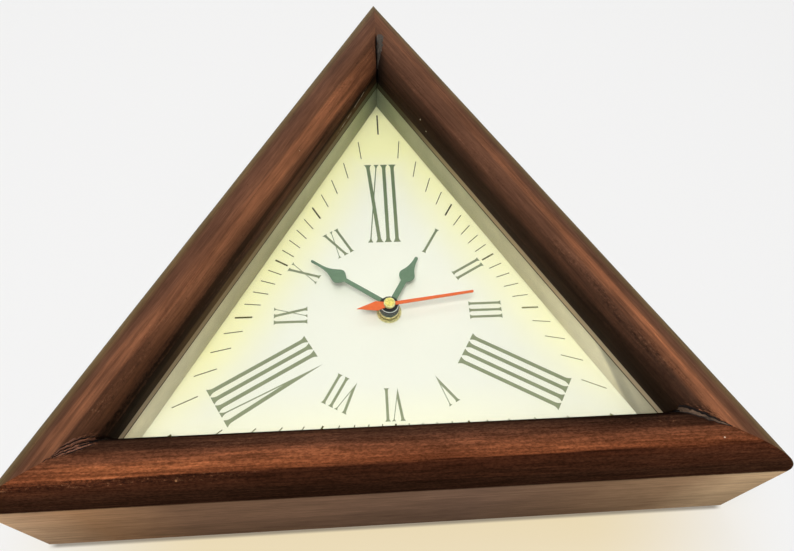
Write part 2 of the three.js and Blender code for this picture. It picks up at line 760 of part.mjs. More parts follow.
function statorPlate() {
  const outline = new THREE.Shape();
  outline.moveTo(statorLeft, statorBlockFoot);
  outline.lineTo(statorBlockRight - statorArm, statorBlockFoot);
  outline.lineTo(statorBlockRight - statorArm, statorFoot);
  outline.lineTo(statorRight, statorFoot);
  outline.lineTo(statorRight, statorFoot + statorArm);
  outline.lineTo(statorBlockRight, statorFoot + statorArm);
  outline.lineTo(statorBlockRight, statorTop - statorArm);
  outline.lineTo(statorRight, statorTop - statorArm);
  outline.lineTo(statorRight, statorTop);
  outline.lineTo(statorLeft, statorTop);
  outline.closePath();
  const hole = bar(statorHole, statorBack - 1, statorFront + 1, roundSides, rotorAxis);
  return slab(outline, statorBack, statorFront).subtract(hole);
}

add('stator', statorPlate(), steel);

// Coil: core bar behind the stator arms, bobbin round the core, winding between its flanges
const bobbinBore = Math.hypot(coilCoreWidth, coilCoreThickness) / 2 + runGap;
const windingInner = bobbinBore + bobbinWall + runGap;
const windingOuter = windingInner + coilWindingThickness;
const flangeRadius = windingOuter + runGap;
const coreX = statorRight - flangeRadius;
const coreLow = [coreX - coilCoreWidth / 2, coreFront - coilCoreThickness, statorFoot];
add('coil_core', block(coreLow, [coreX + coilCoreWidth / 2, coreFront, statorTop]), steel);

function standing(profile) {
  const points = profile.map(([radius, height]) => new THREE.Vector2(radius, height));
  const geometry = new THREE.LatheGeometry(points, pinSides);
  geometry.rotateX(Math.PI / 2);
  geometry.translate(coreX, -coreMiddle, 0);
  return solid(geometry);
}

const flangeWall = bobbinWall;
add('coil_bobbin', standing([
  [bobbinBore, coilFoot],
  [flangeRadius, coilFoot],
  [flangeRadius, coilFoot + flangeWall],
  [bobbinBore + bobbinWall, coilFoot + flangeWall],
  [bobbinBore + bobbinWall, coilTop - flangeWall],
  [flangeRadius, coilTop - flangeWall],
  [flangeRadius, coilTop],
  [bobbinBore, coilTop],
  [bobbinBore, coilFoot],
]), gearPlastic);
add('coil_winding', standing([
  [windingInner, coilFoot + flangeWall + runGap],
  [windingOuter, coilFoot + flangeWall + runGap],
  [windingOuter, coilTop - flangeWall - runGap],
  [windingInner, coilTop - flangeWall - runGap],
  [windingInner, coilFoot + flangeWall + runGap],
]), copper);

// Circuit board against the train plate, with its chip blob, and the quartz crystal can
const circuitFront = trainPlateBack - fitGap;
const circuitBack = circuitFront - circuitThickness;
const circuitLeft = -bayHalfWidth + fitGap;
const circuitFoot = trainFoot + fitGap;
const boardHeight = trainTop - fitGap - circuitFoot;
const blobAxis = { x: circuitLeft + boardWidth / 2, z: circuitFoot + boardHeight / 3 };
const circuit = block(
  [circuitLeft, circuitBack, circuitFoot],
  [circuitLeft + boardWidth, circuitFront, circuitFoot + boardHeight],
).add(bar(boardWidth / 2, circuitBack - circuitThickness / 2, circuitFront, pinSides, blobAxis));
add('circuit_board', circuit, circuitGreen);

const crystalRadius = crystalDiameter / 2;
const crystalGeometry = new THREE.CylinderGeometry(crystalRadius, crystalRadius, crystalLength, pinSides);
crystalGeometry.rotateX(Math.PI / 2);
const crystalDepth = circuitBack - fitGap - crystalRadius;
crystalGeometry.translate(blobAxis.x, -crystalDepth, circuitFoot + (2 * boardHeight) / 3);
add('quartz_crystal', solid(crystalGeometry), steel);

// Battery in its bay, positive nub to the right, between two sprung contacts
const batteryDepth = movementFloor - fitGap - batteryDiameter / 2;
const batteryAxisZ = bayTop - fitGap - batteryDiameter / 2;
const batteryLeft = -bayHalfWidth + contactThickness + 2 * fitGap;

function batteryCell() {
  const profile = [
    [0, 0],
    [batteryDiameter / 2, 0],
    [batteryDiameter / 2, batteryLength - batteryNubLength],
    [batteryNub / 2, batteryLength - batteryNubLength],
    [batteryNub / 2, batteryLength],
    [0, batteryLength],
  ];
  const points = profile.map(([radius, along]) => new THREE.Vector2(radius, along));
  const geometry = new THREE.LatheGeometry(points, roundSides);
  geometry.rotateZ(-Math.PI / 2);
  geometry.translate(batteryLeft, -batteryDepth, batteryAxisZ);
  return solid(geometry);
}

add('battery', batteryCell(), batterySleeve);

const contact = (left) => block(
  [left, batteryDepth - contactWidth / 2, batteryAxisZ - contactWidth / 2],
  [left + contactThickness, batteryDepth + contactWidth / 2, batteryAxisZ + contactWidth / 2],
);
add('negative_contact', contact(-bayHalfWidth + fitGap), steel);
add('positive_contact', contact(batteryLeft + batteryLength + fitGap), steel);

// Hands, drawn pointing at twelve and turned to the angles they rest at
function spadeHand({ length, centre, stemAtHub, stemAtBulb, neck, tipWidth, hub, hubBack, front, bore }) {
  const bulb = bulbWidth / 2;
  const tip = tipWidth / 2;
  const foot = centre - bulbRise;
  const top = Math.min(centre + bulbTaper, length - 1.5 * tip);
  const outline = new THREE.Shape();
  const side = [
    [stemAtHub / 2, 0],
    [stemAtBulb / 2, foot],
    [stemAtBulb, foot + 0.25 * bulbRise],
    [bulb, foot + 0.55 * bulbRise],
    [bulb, centre],
    [bulb, centre + 0.21 * (top - centre)],
    [1.5 * tip, centre + neck],
    [tip, top],
    [tip, length - tip],
  ];
  const [hubEdge, stemEdge, a, b, widest, c, d, shoulder, tipEdge] = side;
  const left = ([x, z]) => [-x, z];
  outline.moveTo(...left(hubEdge));
  outline.lineTo(...left(stemEdge));
  outline.bezierCurveTo(...left(a), ...left(b), ...left(widest));
  outline.bezierCurveTo(...left(c), ...left(d), ...left(shoulder));
  outline.lineTo(...left(tipEdge));
  outline.absarc(0, length - tip, tip, Math.PI, 0, true);
  outline.lineTo(...shoulder);
  outline.bezierCurveTo(...d, ...c, ...widest);
  outline.bezierCurveTo(...b, ...a, ...stemEdge);
  outline.lineTo(...hubEdge);
  outline.closePath();
  return slab(outline, front - bladeThickness, front)
    .add(bar(hub, hubBack, front))
    .subtract(bar(bore, hubBack - 1, front + 1));
}

const hourHand = add('hour_hand', spadeHand({
  length: hourLength,
  centre: hourBulbCentre,
  stemAtHub: hourStemAtHub,
  stemAtBulb: hourStemAtBulb,
  neck: hourNeck,
  tipWidth: hourTip,
  hub: hourHub,
  hubBack: hourHubBack,
  front: hourHandFront,
  bore: hourPipe + 2 * runGap,
}), handPaint);
hourHand.rotation.y = THREE.MathUtils.degToRad(hourAngle);

const minuteHand = add('minute_hand', spadeHand({
  length: minuteLength,
  centre: minuteBulbCentre,
  stemAtHub: minuteStemAtHub,
  stemAtBulb: minuteStemAtBulb,
  neck: minuteNeck,
  tipWidth: minuteTip,
  hub: minuteHub,
  hubBack: minuteHubBack,
  front: minuteHandFront,
  bore: minutePipe + 2 * runGap,
}), handPaint);
minuteHand.rotation.y = THREE.MathUtils.degToRad(minuteAngle);

// The second hand is a slim pointer with a kite-shaped tail.
function sweepHand() {
  const stem = secondStem / 2;
  const tip = secondTip / 2;
  const tail = secondTailWide / 2;
  const outline = new THREE.Shape();
  outline.moveTo(-stem, 0);
  outline.lineTo(-tip, secondLength - tip);
  outline.absarc(0, secondLength - tip, tip, Math.PI, 0, true);
  outline.lineTo(stem, 0);
  outline.lineTo(tail, -secondTailShoulder);
  outline.lineTo(0, -secondTail);
  outline.lineTo(-tail, -secondTailShoulder);
  outline.closePath();
  return slab(outline, secondHandBack, secondHandFront)
    .add(bar(capDiameter - 2 * fitGap, secondHandBack, secondHandFront))
    .subtract(bar(secondArbor + 2 * runGap, secondHandBack - 1, secondHandFront + 1, pinSides));
}

const secondHand = add('second_hand', sweepHand(), redPaint);
secondHand.rotation.y = THREE.MathUtils.degToRad(secondAngle);

// Brass cap with a rounded rim, pressed over the end of the second arbor
function handCap() {
  const radius = capDiameter / 2;
  const rim = Math.min(capHeight, radius) / 3;
  const socket = secondArbor / 2 + runGap;
  const socketFront = capBack + 2 * runGap;
  return turned([
    [0, socketFront],
    [socket, socketFront],
    [socket, capBack],
    [radius, capBack],
    [radius, capFront - rim],
    [radius - rim, capFront],
    [0, capFront],
  ]);
}

add('hand_cap', handCap(), brass);

export default clock;
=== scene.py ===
import json
import math
from functools import reduce
from itertools import product
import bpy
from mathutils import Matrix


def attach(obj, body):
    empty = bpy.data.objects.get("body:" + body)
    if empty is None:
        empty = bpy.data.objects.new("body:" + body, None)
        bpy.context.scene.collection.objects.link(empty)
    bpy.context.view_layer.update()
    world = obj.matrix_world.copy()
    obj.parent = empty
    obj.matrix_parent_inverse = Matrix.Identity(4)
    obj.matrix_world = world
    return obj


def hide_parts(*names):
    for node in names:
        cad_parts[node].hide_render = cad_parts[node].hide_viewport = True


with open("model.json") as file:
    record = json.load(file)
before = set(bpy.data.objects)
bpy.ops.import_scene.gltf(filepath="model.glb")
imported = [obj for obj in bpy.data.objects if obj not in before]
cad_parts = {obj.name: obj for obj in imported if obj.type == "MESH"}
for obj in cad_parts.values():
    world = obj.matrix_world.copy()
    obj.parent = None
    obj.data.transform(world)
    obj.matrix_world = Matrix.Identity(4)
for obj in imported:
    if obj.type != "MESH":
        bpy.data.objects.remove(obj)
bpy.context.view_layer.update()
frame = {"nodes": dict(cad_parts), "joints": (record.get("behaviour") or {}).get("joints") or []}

from types import SimpleNamespace as Style

import bmesh
import bpy
from mathutils import Matrix, Vector, noise

# Sizes in millimetres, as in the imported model. Depth is measured forward from the wall,
# and the inradius of a place on a rail is its distance from the hand axis across the rail.
MM = 0.001
ROOT3 = math.sqrt(3)
AXIS_Z = frame["joints"][0]["pos_m"][2]
CASE = 110.0
FACE = 31.0
DEPTH = 94.0
CROWN = 20.0
CROWN_POWER = 2.7
LIP = CASE - FACE
LIP_BASE = DEPTH - CROWN
SEAT = LIP_BASE - 5.0
REBATE = 84.6
ARRIS = 0.8
MITRE_GAP = 0.04
HALF_LENGTH = CASE * ROOT3
SHEET_FRONT = 49.0
TURNS = {"bottom": 0.0, "left": 2 * math.pi / 3, "right": -2 * math.pi / 3}
CORNERS = {"top": 0.0, "right": 120.0, "left": 240.0}
RAIL_ENDS = {"bottom": ("left", "right"), "left": ("top", "left"), "right": ("right", "top")}


def linear(colour):
    """A screen colour, three values from 0 to 255, made linear. Four values are linear already."""
    if len(colour) == 4:
        return colour
    parts = []
    for value in colour:
        share = value / 255
        parts.append(share / 12.92 if share <= 0.04045 else ((share + 0.055) / 1.055) ** 2.4)
    return (*parts, 1.0)


class Shader:
    """The nodes of one material, or of the world, with short ways to add to them."""

    def __init__(self, name, world=False):
        self.look = (bpy.data.worlds if world else bpy.data.materials).new(name)
        self.look.use_nodes = True
        self.nodes = self.look.node_tree.nodes
        self.links = self.look.node_tree.links
        self.body = self.nodes["Background" if world else "Principled BSDF"]
        self.output = self.nodes["World Output" if world else "Material Output"]
        self.coords = self.node("TexCoord").outputs
        self.here = self.coords["Object"]

    def put(self, socket, value):
        if isinstance(value, bpy.types.NodeSocket):
            self.links.new(value, socket)
        else:
            socket.default_value = linear(value) if socket.type == "RGBA" else value

    def node(self, kind, inputs=None, **settings):
        node = self.nodes.new("ShaderNode" + kind)
        for name, value in settings.items():
            setattr(node, name, value)
        for key, value in (inputs or {}).items():
            self.put(node.inputs[key], value)
        return node

    def set(self, **inputs):
        for name, value in inputs.items():
            self.put(self.body.inputs[name.replace("_", " ")], value)

    def surface(self, share, first, second):
        mixed = self.node("MixShader", {0: share, 1: first, 2: second})
        self.links.new(mixed.outputs[0], self.output.inputs["Surface"])

    def math(self, operation, *values):
        node = self.node("Math", operation=operation)
        for socket, value in zip(node.inputs, values):
            self.put(socket, value)
        return node.outputs[0]

    def chain(self, operation, values):
        return reduce(lambda first, second: self.math(operation, first, second), values)

    def times(self, *values):
        return self.chain("MULTIPLY", values)

    def plus(self, *values):
        return self.chain("ADD", values)

    def most(self, *values):
        return self.chain("MAXIMUM", values)

    def slope(self, value, factor, offset):
        return self.math("MULTIPLY_ADD", value, factor, offset)

    def gap(self, first, second):
        return self.math("ABSOLUTE", self.math("SUBTRACT", first, second))

    def fade(self, value, low, high, bottom=0.0, top=1.0):
        ends = {"Value": value, "From Min": low, "From Max": high, "To Min": bottom, "To Max": top}
        return self.node("MapRange", ends, interpolation_type="SMOOTHSTEP").outputs["Result"]

    def mix(self, share, first, second, blend="MIX"):
        node = self.node("Mix", data_type="RGBA", blend_type=blend)
        for index, value in ((0, share), (6, first), (7, second)):
            self.put(node.inputs[index], value)
        return node.outputs[2]

    def over(self, colour, tone, *shares):
        """A tone laid over a colour, by the product of some shares."""
        return self.mix(self.times(*shares), colour, tone)

    def shaded(self, colour, brightness):
        grey = self.node("CombineColor", {i: brightness for i in range(3)}).outputs[0]
        return self.mix(1.0, colour, grey, "MULTIPLY")

    def ramp(self, value, stops):
        node = self.node("ValToRGB", {"Fac": value})
        elements = node.color_ramp.elements
        while len(elements) < len(stops):
            elements.new(0.5)
        for element, (place, colour) in zip(elements, stops):
            element.position = place
            element.color = linear(colour)
        return node.outputs["Color"]

    def parts(self, vector):
        return self.node("SeparateXYZ", {"Vector": vector}).outputs

    def millimetres(self, vector, up=1.0, level=0.0):
        """A place in metres as millimetres to the right, forward, and up from a level."""
        inputs = {0: vector, 1: (1 / MM, -1 / MM, up / MM), 2: (0.0, 0.0, -level / MM)}
        return self.node("VectorMath", inputs, operation="MULTIPLY_ADD").outputs[0]

    def distance(self, first, second):
        return self.node("VectorMath", {0: first, 1: second}, operation="DISTANCE").outputs["Value"]

    def stretch(self, vector, x, y, z, turn=0.0):
        scale = (1 / x, 1 / y, 1 / z)
        inputs = {"Vector": vector, "Scale": scale, "Rotation": (0.0, turn, 0.0)}
        return self.node("Mapping", inputs, vector_type="TEXTURE").outputs["Vector"]

    def noise(self, vector, scale=1.0, detail=3.0, roughness=0.55):
        """Noise between 0 and 1, with its scale in waves to the metre."""
        inputs = {"Vector": vector, "Scale": scale, "Detail": detail, "Roughness": roughness}
        return self.node("TexNoise", inputs).outputs["Fac"]

    def bump(self, height, strength, distance, normal=None):
        inputs = {"Height": height, "Strength": strength, "Distance": distance * MM}
        if normal is not None:
            inputs["Normal"] = normal
        return self.node("Bump", inputs).outputs["Normal"]

    def coat(self, colour, grit, rough, relief, span=(0.2, 0.8), **more):
        """The finished look: a colour, with roughness and relief that follow a fine noise."""
        roughness = self.fade(grit, *span, *rough)
        self.set(Base_Color=colour, Roughness=roughness, Normal=self.bump(grit, *relief), **more)
        return self.look


# Stain across a rail, from the lip to the outer edge: inradius and colour
STAIN = {
    "bottom": [(79.5, (24, 16, 12)), (82.0, (48, 32, 23)), (84.0, (66, 43, 31)), (89.0, (76, 47, 33)),
               (94.0, (106, 63, 42)), (101.0, (106, 58, 35)), (102.3, (56, 29, 17)), (109.5, (40, 23, 14))],
    "left": [(79.5, (54, 35, 22)), (80.5, (84, 55, 38)), (82.0, (106, 69, 48)), (84.0, (120, 78, 53)),
             (86.5, (126, 82, 57)), (90.0, (100, 65, 46)), (97.0, (94, 62, 46)), (109.5, (72, 52, 40))],
    "right": [(79.5, (52, 36, 25)), (80.5, (62, 42, 30)), (82.0, (66, 44, 32)), (84.0, (80, 53, 38)),
              (86.0, (92, 61, 45)), (97.0, (96, 64, 47)), (103.0, (86, 61, 48)), (109.5, (74, 54, 42))],
}
# How far a streak of the grain shifts the stain across a rail
STREAK_SWAY = 10.0
# Colour of the underside of the foot, by the share of its length from the left; its pale ends are a painted
# reflection of the wall
UNDERSIDE = [(0.0, (198, 163, 128)), (0.1, (154, 117, 84)), (0.22, (118, 90, 69)), (0.6, (110, 86, 70)),
             (0.76, (130, 102, 78)), (0.87, (156, 125, 95)), (0.95, (196, 165, 128)), (1.0, (190, 160, 124))]
# Where the stain is rubbed off each rail: place along it, and how much
RUBBED = {
    "bottom": [(-168, 0.05), (-150, 0.5), (-122, 0.72), (-85, 0.55), (-45, 0.28), (10, 0.12), (70, 0.28),
               (130, 0.32), (170, 0.1)],
    "left": [(-190, 0.6), (-130, 0.4), (-60, 0.64), (-20, 0.42), (40, 0.30), (110, 0.36), (190, 0.3)],
    "right": [(-190, 0.3), (-160, 0.5), (-130, 0.65), (-105, 0.72), (-60, 0.65), (0, 0.45), (80, 0.15),
              (190, 0.15)],
}
# The rubbed band's inradius half way along each rail, how far it drifts per metre, and its colour
BAND = {"bottom": (97.2, -6.0, (156, 91, 55)), "left": (88.7, 42.0, (156, 98, 66)),
        "right": (95.0, 27.0, (156, 98, 66))}
# Where the inner slope is darkened and flaked: place along each rail, and how much
FLAKED = {
    "bottom": [(-190, 0.6), (-120, 0.6), (-40, 0.1), (60, 0.2), (110, 0.8), (150, 1.0), (190, 1.0)],
    "left": [(-190, 0.9), (-110, 0.8), (-80, 0.3), (-60, 0.05), (-20, 0.05), (30, 0.4), (75, 0.55),
             (105, 1.0), (160, 1.0), (190, 0.8)],
    "right": [(-190, 0.6), (-150, 1.0), (-95, 1.0), (-60, 0.6), (0, 0.25), (100, 0.3), (190, 0.5)],
}
# How much darker a rail is, and how far its dark edge reaches up, where it is flaked
DULLED = {"bottom": (0.45, 1.2), "left": (0.64, 0.2), "right": (0.30, 1.0)}
# Half the brightness of the lower part of the foot's moulding, by place along
LOWER_TONE = [(-190, 0.8), (-120, 0.68), (-60, 0.55), (0, 0.5), (60, 0.56), (110, 0.72), (150, 0.84),
              (190, 0.95)]
# The share of olive at the left lip, by place along
SILL = [(-150, 0.0), (-125, 0.6), (-100, 1.0), (50, 0.9), (95, 0.25), (150, 0.0)]
# Darkest and lightest of the fine grain, and the gloss of each rail
PORES = {"bottom": (0.72, 1.24), "left": (0.86, 1.12), "right": (0.86, 1.12)}
SHEEN = {"bottom": 0.0, "left": 0.05, "right": 0.05}
# Bare specks where the finish is chipped: place along the rail, inradius, radius and colour
SPECKS = {
    "bottom": [(153.3, 96.9, 0.6, (208, 192, 166)), (-101.6, 103.6, 0.9, (176, 126, 88))],
    "left": [(-50.6, 84.6, 0.6, (206, 186, 150))],
    "right": [(88.6, 79.7, 0.7, (206, 192, 166)), (81.2, 79.2, 0.6, (196, 182, 156))],
}
# Height and colour of the face of the lip, darker towards the apex as painted shade
LIP_FACE = {
    "left": [(-262, (186, 168, 146)), (-200, (164, 142, 114)), (-120, (150, 128, 96)), (-80, (142, 125, 94)),
             (-28, (98, 104, 80))],
    "right": [(-262, (206, 188, 162)), (-200, (196, 174, 144)), (-120, (182, 160, 128)),
              (-85, (166, 148, 115)), (-55, (84, 77, 57)), (-28, (66, 68, 50))],
}
LIP_FACE["bottom"] = LIP_FACE["left"]
# Height and colour of the card behind the glass, which is greyest at the apex as painted shade
CARD = [(-262, (255, 247, 226)), (-215, (255, 246, 223)), (-170, (224, 215, 187)), (-120, (200, 195, 166)),
        (-60, (206, 206, 176)), (-40, (176, 180, 152)), (-26, (148, 155, 136))]
# The heights in the lists above lie between this far below the origin and the origin
HEIGHT_RANGE = 300.0
# A pale fleck on the card: to the right, forward and up
FLECK = (3.1, 63.3, -26.3)

# For each corner, how wide and deep the open joint is on the inner slope, the inradius where it closes,
# and how little of its torn wood is bare
OPEN_JOINTS = {"top": (0.5, 1.4, 90.0, 0.57), "right": (0.8, 2.4, 91.5, 0.57), "left": (0.6, 1.6, 92.0, 0.51)}
# By corner and rail, how far the wood beside a joint is torn, how deep, and how dark its dirt is
TORN = {("left", "left"): (4.2, 1.0, 0.3), ("left", "bottom"): (4.8, 1.0, 0.1),
        ("top", "left"): (3.0, 0.5, 0.35), ("top", "right"): (2.0, 0.4, 0.85),
        ("right", "right"): (4.5, 0.7, 0.2), ("right", "bottom"): (1.5, 0.2, 0.25)}


def by_height(s, height, stops):
    share = s.slope(height, 1 / HEIGHT_RANGE, 1.0)
    return s.ramp(share, [(1.0 + level / HEIGHT_RANGE, colour) for level, colour in stops])


def case_wood(rail):
    """Dark stained wood in a rail's own frame: x along the grain, then depth and inradius."""
    s = Shader("case_wood_" + rail)
    inputs = {"Vector": s.here, "Location": (0.0, 0.0, AXIS_Z), "Rotation": (0.0, TURNS[rail], 0.0)}
    place = s.node("Mapping", inputs, vector_type="TEXTURE").outputs["Vector"]
    section = s.millimetres(place, up=-1.0)
    x, depth, inradius = s.parts(section)
    height = s.parts(s.millimetres(s.here))[2]
    along = s.slope(x, 0.5 / HALF_LENGTH, 0.5)
    shift = 0.7 * list(TURNS).index(rail)
    grain = s.node("VectorMath", {0: place, 1: (shift, shift / 2, shift / 3)}).outputs[0]

    def profile(stops):
        return s.ramp(along, [(0.5 + u * 0.5 / HALF_LENGTH, (v, v, v, 1.0)) for u, v in stops])

    def grained(lengthwise, crosswise, detail, roughness):
        return s.noise(s.stretch(grain, lengthwise, crosswise, crosswise), 1.0, detail, roughness)

    streak = grained(6, 230, 4, 0.6)
    line = grained(17, 430, 4, 0.6)
    fibre = grained(110, 1500, 3, 0.65)
    pore = grained(34, 850, 2, 0.6)
    speck = grained(420, 640, 3, 0.6)
    flake = grained(480, 800, 4, 0.7)
    patch = grained(26, 60, 2, 0.55)

    # Masks of the crown, the rebate and the face of the lip
    inner_side = s.fade(inradius, 101, 97)
    front = s.most(s.fade(depth, LIP_BASE - 0.4, LIP_BASE + 2.5), inner_side)
    within = s.times(inner_side, s.fade(depth, SEAT - 0.2, SEAT - 0.6))
    lip = s.times(s.fade(inradius, LIP + 0.7, LIP + 0.3), s.fade(depth, SEAT - 0.6, SEAT - 0.2),
                  s.fade(depth, LIP_BASE + 0.6, LIP_BASE))

    def on_front(change):
        return s.slope(change, front, 1.0)

    # Stain across the crown, ragged where it is flaked
    flaked = s.times(profile(FLAKED[rail]), s.fade(inradius, 93, 88))
    across = s.slope(s.plus(streak, -0.5), STREAK_SWAY, inradius)
    ragged = s.times(s.plus(flake, -0.54), flaked, 8.0)
    dulled, climb = DULLED[rail]
    sunk = s.plus(across, s.times(flaked, -climb), ragged)
    side = s.mix(streak, (84, 58, 41), (120, 87, 64))
    if rail == "bottom":
        sunk = s.plus(sunk, s.fade(x, -110, -60))
        # Underside of the foot: a painted reflection brightens its ends, and painted shade darkens it towards
        # the wall
        side = s.mix(0.9, side, s.ramp(along, UNDERSIDE))
        side = s.shaded(side, s.fade(depth, 0.0, LIP_BASE, 0.66, 1.08))
    share = s.math("DIVIDE", s.plus(sunk, -LIP), FACE)
    stain_and_shadow = s.ramp(share, [((a - LIP) / FACE, colour) for a, colour in STAIN[rail]])
    if rail == "bottom":
        lower = s.mix(s.fade(inradius, 99, 103), (0.5, 0.5, 0.5, 1.0), profile(LOWER_TONE))
        stain_and_shadow = s.shaded(stain_and_shadow, s.times(lower, 2.0))
    stain_and_shadow = s.shaded(stain_and_shadow, s.fade(flaked, 0.0, 1.0, 1.0, 1.0 - dulled))
    colour = s.mix(front, side, stain_and_shadow)
    if rail == "left":
        sill = s.times(s.fade(depth, 80.5, 78.5), s.fade(inradius, 81.2, 80.4))
        colour = s.over(colour, (95, 71, 47), sill, profile(SILL))
    if rail != "bottom":
        # Olive tint on the outer edges of the uprights: a painted reflection of the pale wall
        painted_edge_sheen = s.times(s.fade(inradius, 99, 106, 0.0, 0.8), s.fade(inradius, 109.6, 107.6))
        colour = s.mix(painted_edge_sheen, colour, (116, 97, 60))

    # Crest rubbed lighter in streaks
    middle, drift, rubbed = BAND[rail]
    band = s.fade(s.gap(across, s.slope(x, drift * MM, middle)), 4.8, 1.4)
    wear_and_glint = s.times(band, front, s.fade(line, 0.3, 0.68, 0.45, 1.0), profile(RUBBED[rail]),
                   s.fade(patch, 0.32, 0.62, 0.55, 1.0))
    colour = s.mix(wear_and_glint, colour, rubbed)

    # Flakes on the inner slope: dark pits and paler lifted edges
    rim = s.times(flaked, s.fade(inradius, 83.5, 86.0), s.fade(patch, 0.46, 0.60))
    if rail == "bottom":
        border = s.fade(s.gap(across, 102.8), 2.6, 1.0)
        rim = s.most(rim, s.times(border, s.fade(x, -50, -90)))
    colour = s.over(colour, (26, 17, 13), rim, s.fade(flake, 0.46, 0.37, 0.0, 0.6))
    colour = s.over(colour, (142, 100, 72), rim, s.fade(flake, 0.56, 0.68, 0.0, 0.38))

    # Wood torn open beside the joints: dirt, bare splinters, and painted shade in dark clefts
    bare = s.mix(s.fade(speck, 0.35, 0.65), (112, 76, 58), (154, 100, 72))
    for end, sign in zip(RAIL_ENDS[rail], (1.0, -1.0)):
        _, _, close, cleft = OPEN_JOINTS[end]
        reach, _, grime = TORN[end, rail]
        away = s.times(s.slope(inradius, ROOT3, s.times(x, sign)), 0.5)
        cell = s.node("CombineXYZ", {0: s.times(inradius, 0.56), 1: s.times(away, 1.3), 2: CORNERS[end]})
        splinter = s.noise(cell.outputs[0], 1.0, 3, 0.6)
        torn = s.times(s.fade(away, reach, reach * 0.3), s.fade(inradius, close, close - 3),
                       s.fade(inradius, 81.5, 84.5))
        dirt = s.times(s.fade(away, 7, 1), s.fade(inradius, close, close - 6))
        colour = s.over(colour, (24, 19, 16), dirt, grime)
        colour = s.over(colour, bare, torn, s.fade(splinter, cleft - 0.03, cleft + 0.05, 0.0, 0.8))
        # Dark clefts: painted shade
        colour = s.over(colour, (20, 13, 10), torn, s.fade(splinter, cleft - 0.07, cleft - 0.16, 0.0, 0.85))

    # Grain and chipped specks
    colour = s.over(colour, (186, 120, 80), wear_and_glint, s.fade(speck, 0.58, 0.68), 0.5)
    darkest, lightest = PORES[rail]
    shade = s.times(s.fade(line, 0.2, 0.8, 0.80, 1.18), s.fade(fibre, 0.2, 0.8, 0.80, 1.18),
                    s.fade(patch, 0.25, 0.75, 0.88, 1.12),
                    on_front(s.fade(pore, 0.3, 0.7, darkest - 1, lightest - 1)),
                    on_front(s.fade(speck, 0.64, 0.74, 0.0, -0.35)))
    if rail == "bottom":
        pit = grained(520, 1250, 2, 0.7)
        shade = s.times(shade, on_front(s.fade(pit, 0.32, 0.68, -0.34, 0.24)))
    colour = s.shaded(colour, shade)
    for u, a, radius, tone in SPECKS[rail]:
        chip = s.plus(s.distance(section, (u, crown_depth(a), a)), speck, -0.5)
        colour = s.mix(s.fade(chip, radius, 0.2), colour, tone)

    # A broken painted highlight along a ledge on the left lip, and the face of the lip, darker towards the
    # apex as painted shade
    if rail == "left":
        # Pale broken line: a painted highlight along the ledge
        painted_ledge_highlight = s.fade(s.gap(s.slope(x, 0.118, depth), 66.3), 0.5, 0.2)
        broken = s.times(s.fade(flake, 0.46, 0.54), s.fade(s.gap(x, -103), 22, 14))
        colour = s.over(colour, (186, 172, 152), painted_ledge_highlight, broken, s.fade(inradius, 81, 80), 0.85)
    # Face of the lip: painted shade darkens it towards the apex
    taupe = s.mix(s.fade(depth, 70.6, 70.0), by_height(s, height, LIP_FACE[rail]), (58, 46, 34))
    colour = s.mix(lip, colour, s.mix(s.times(streak, 0.3), taupe, (84, 66, 50)))

    # Plainer wood at the back and in the rebate
    back = s.most(s.fade(s.parts(s.coords["Normal"])[1], 0.5, 0.9), within)
    colour = s.mix(back, colour, s.mix(streak, (70, 50, 36), (112, 84, 60)))
    rough = s.plus(s.fade(line, 0.2, 0.8, 0.30, 0.38), s.times(front, s.fade(speck, 0.2, 0.8, 0.10, 0.24)),
                   s.times(back, 0.3))
    relief = s.bump(line, 0.10, 0.6, s.bump(fibre, 0.12, 0.3))
    relief = s.bump(flake, s.slope(rim, 0.85, 0.04), 1.4, relief)
    s.set(Base_Color=colour, Roughness=rough, Normal=relief, Specular_IOR_Level=SHEEN[rail])
    return s.look


def spacer_card():
    """Card strips that stand between glass and dial: pale at the foot, grey-green at the apex, where the
    grey-green is painted shade.
    """
    s = Shader("spacer_card")
    spot = s.millimetres(s.here)
    x, depth, z = s.parts(spot)
    fibre = s.noise(s.here, 900)
    cloud = s.noise(s.here, 70)
    # Painted shade on the left strip above its foot, and on the top of the right strip
    dim = s.times(s.fade(x, -30, -90, 0.0, -0.22), s.fade(z, -252, -228))
    lop = s.times(s.fade(x, -10, 20, 0.0, -0.20), s.fade(z, -130, -70))
    # A painted shadow that crosses the right strip towards the foot
    slant = s.math("SUBTRACT", depth, s.slope(z, 0.645, 212.2))
    stain_and_shadow = s.plus(s.fade(slant, -10, -2), s.fade(slant, -1, 6, 0.0, -0.3))
    stain_and_shadow = s.times(stain_and_shadow, s.fade(x, 60, 90))
    # Painted shade darkens the card towards the dial and in a line where it meets the dial
    shade = s.times(s.fade(cloud, 0.25, 0.75, 0.92, 1.06), s.fade(fibre, 0.2, 0.8, 0.96, 1.03),
                    s.fade(depth, 49, 66, 0.84, 1.08), s.fade(depth, 49.3, 50.0, 0.8, 1.0),
                    s.plus(dim, 1.0), s.plus(lop, 1.0), s.fade(stain_and_shadow, 0.0, 1.0, 1.0, 0.54))
    # Card colour by height: painted shade greys it towards the apex
    colour = s.shaded(by_height(s, z, CARD), shade)
    colour = s.mix(s.fade(s.distance(spot, FLECK), 1.0, 0.4), colour, (252, 252, 240))
    return s.coat(colour, fibre, (0.6, 0.8), (0.1, 0.3), Specular_IOR_Level=0.3)


def putty(name, dark, pale, turn):
    """Filler pressed into a joint, streaked along it."""
    s = Shader(name)
    grit = s.noise(s.here, 700, 4, 0.7)
    smear = s.noise(s.stretch(s.here, 900, 900, 130, turn))
    mixed = s.plus(s.times(grit, 0.45), s.times(smear, 0.55))
    colour = s.ramp(mixed, [(0.34, dark), (0.64, pale)])
    return s.coat(colour, grit, (0.45, 0.7), (0.5, 0.6), Specular_IOR_Level=0.25)


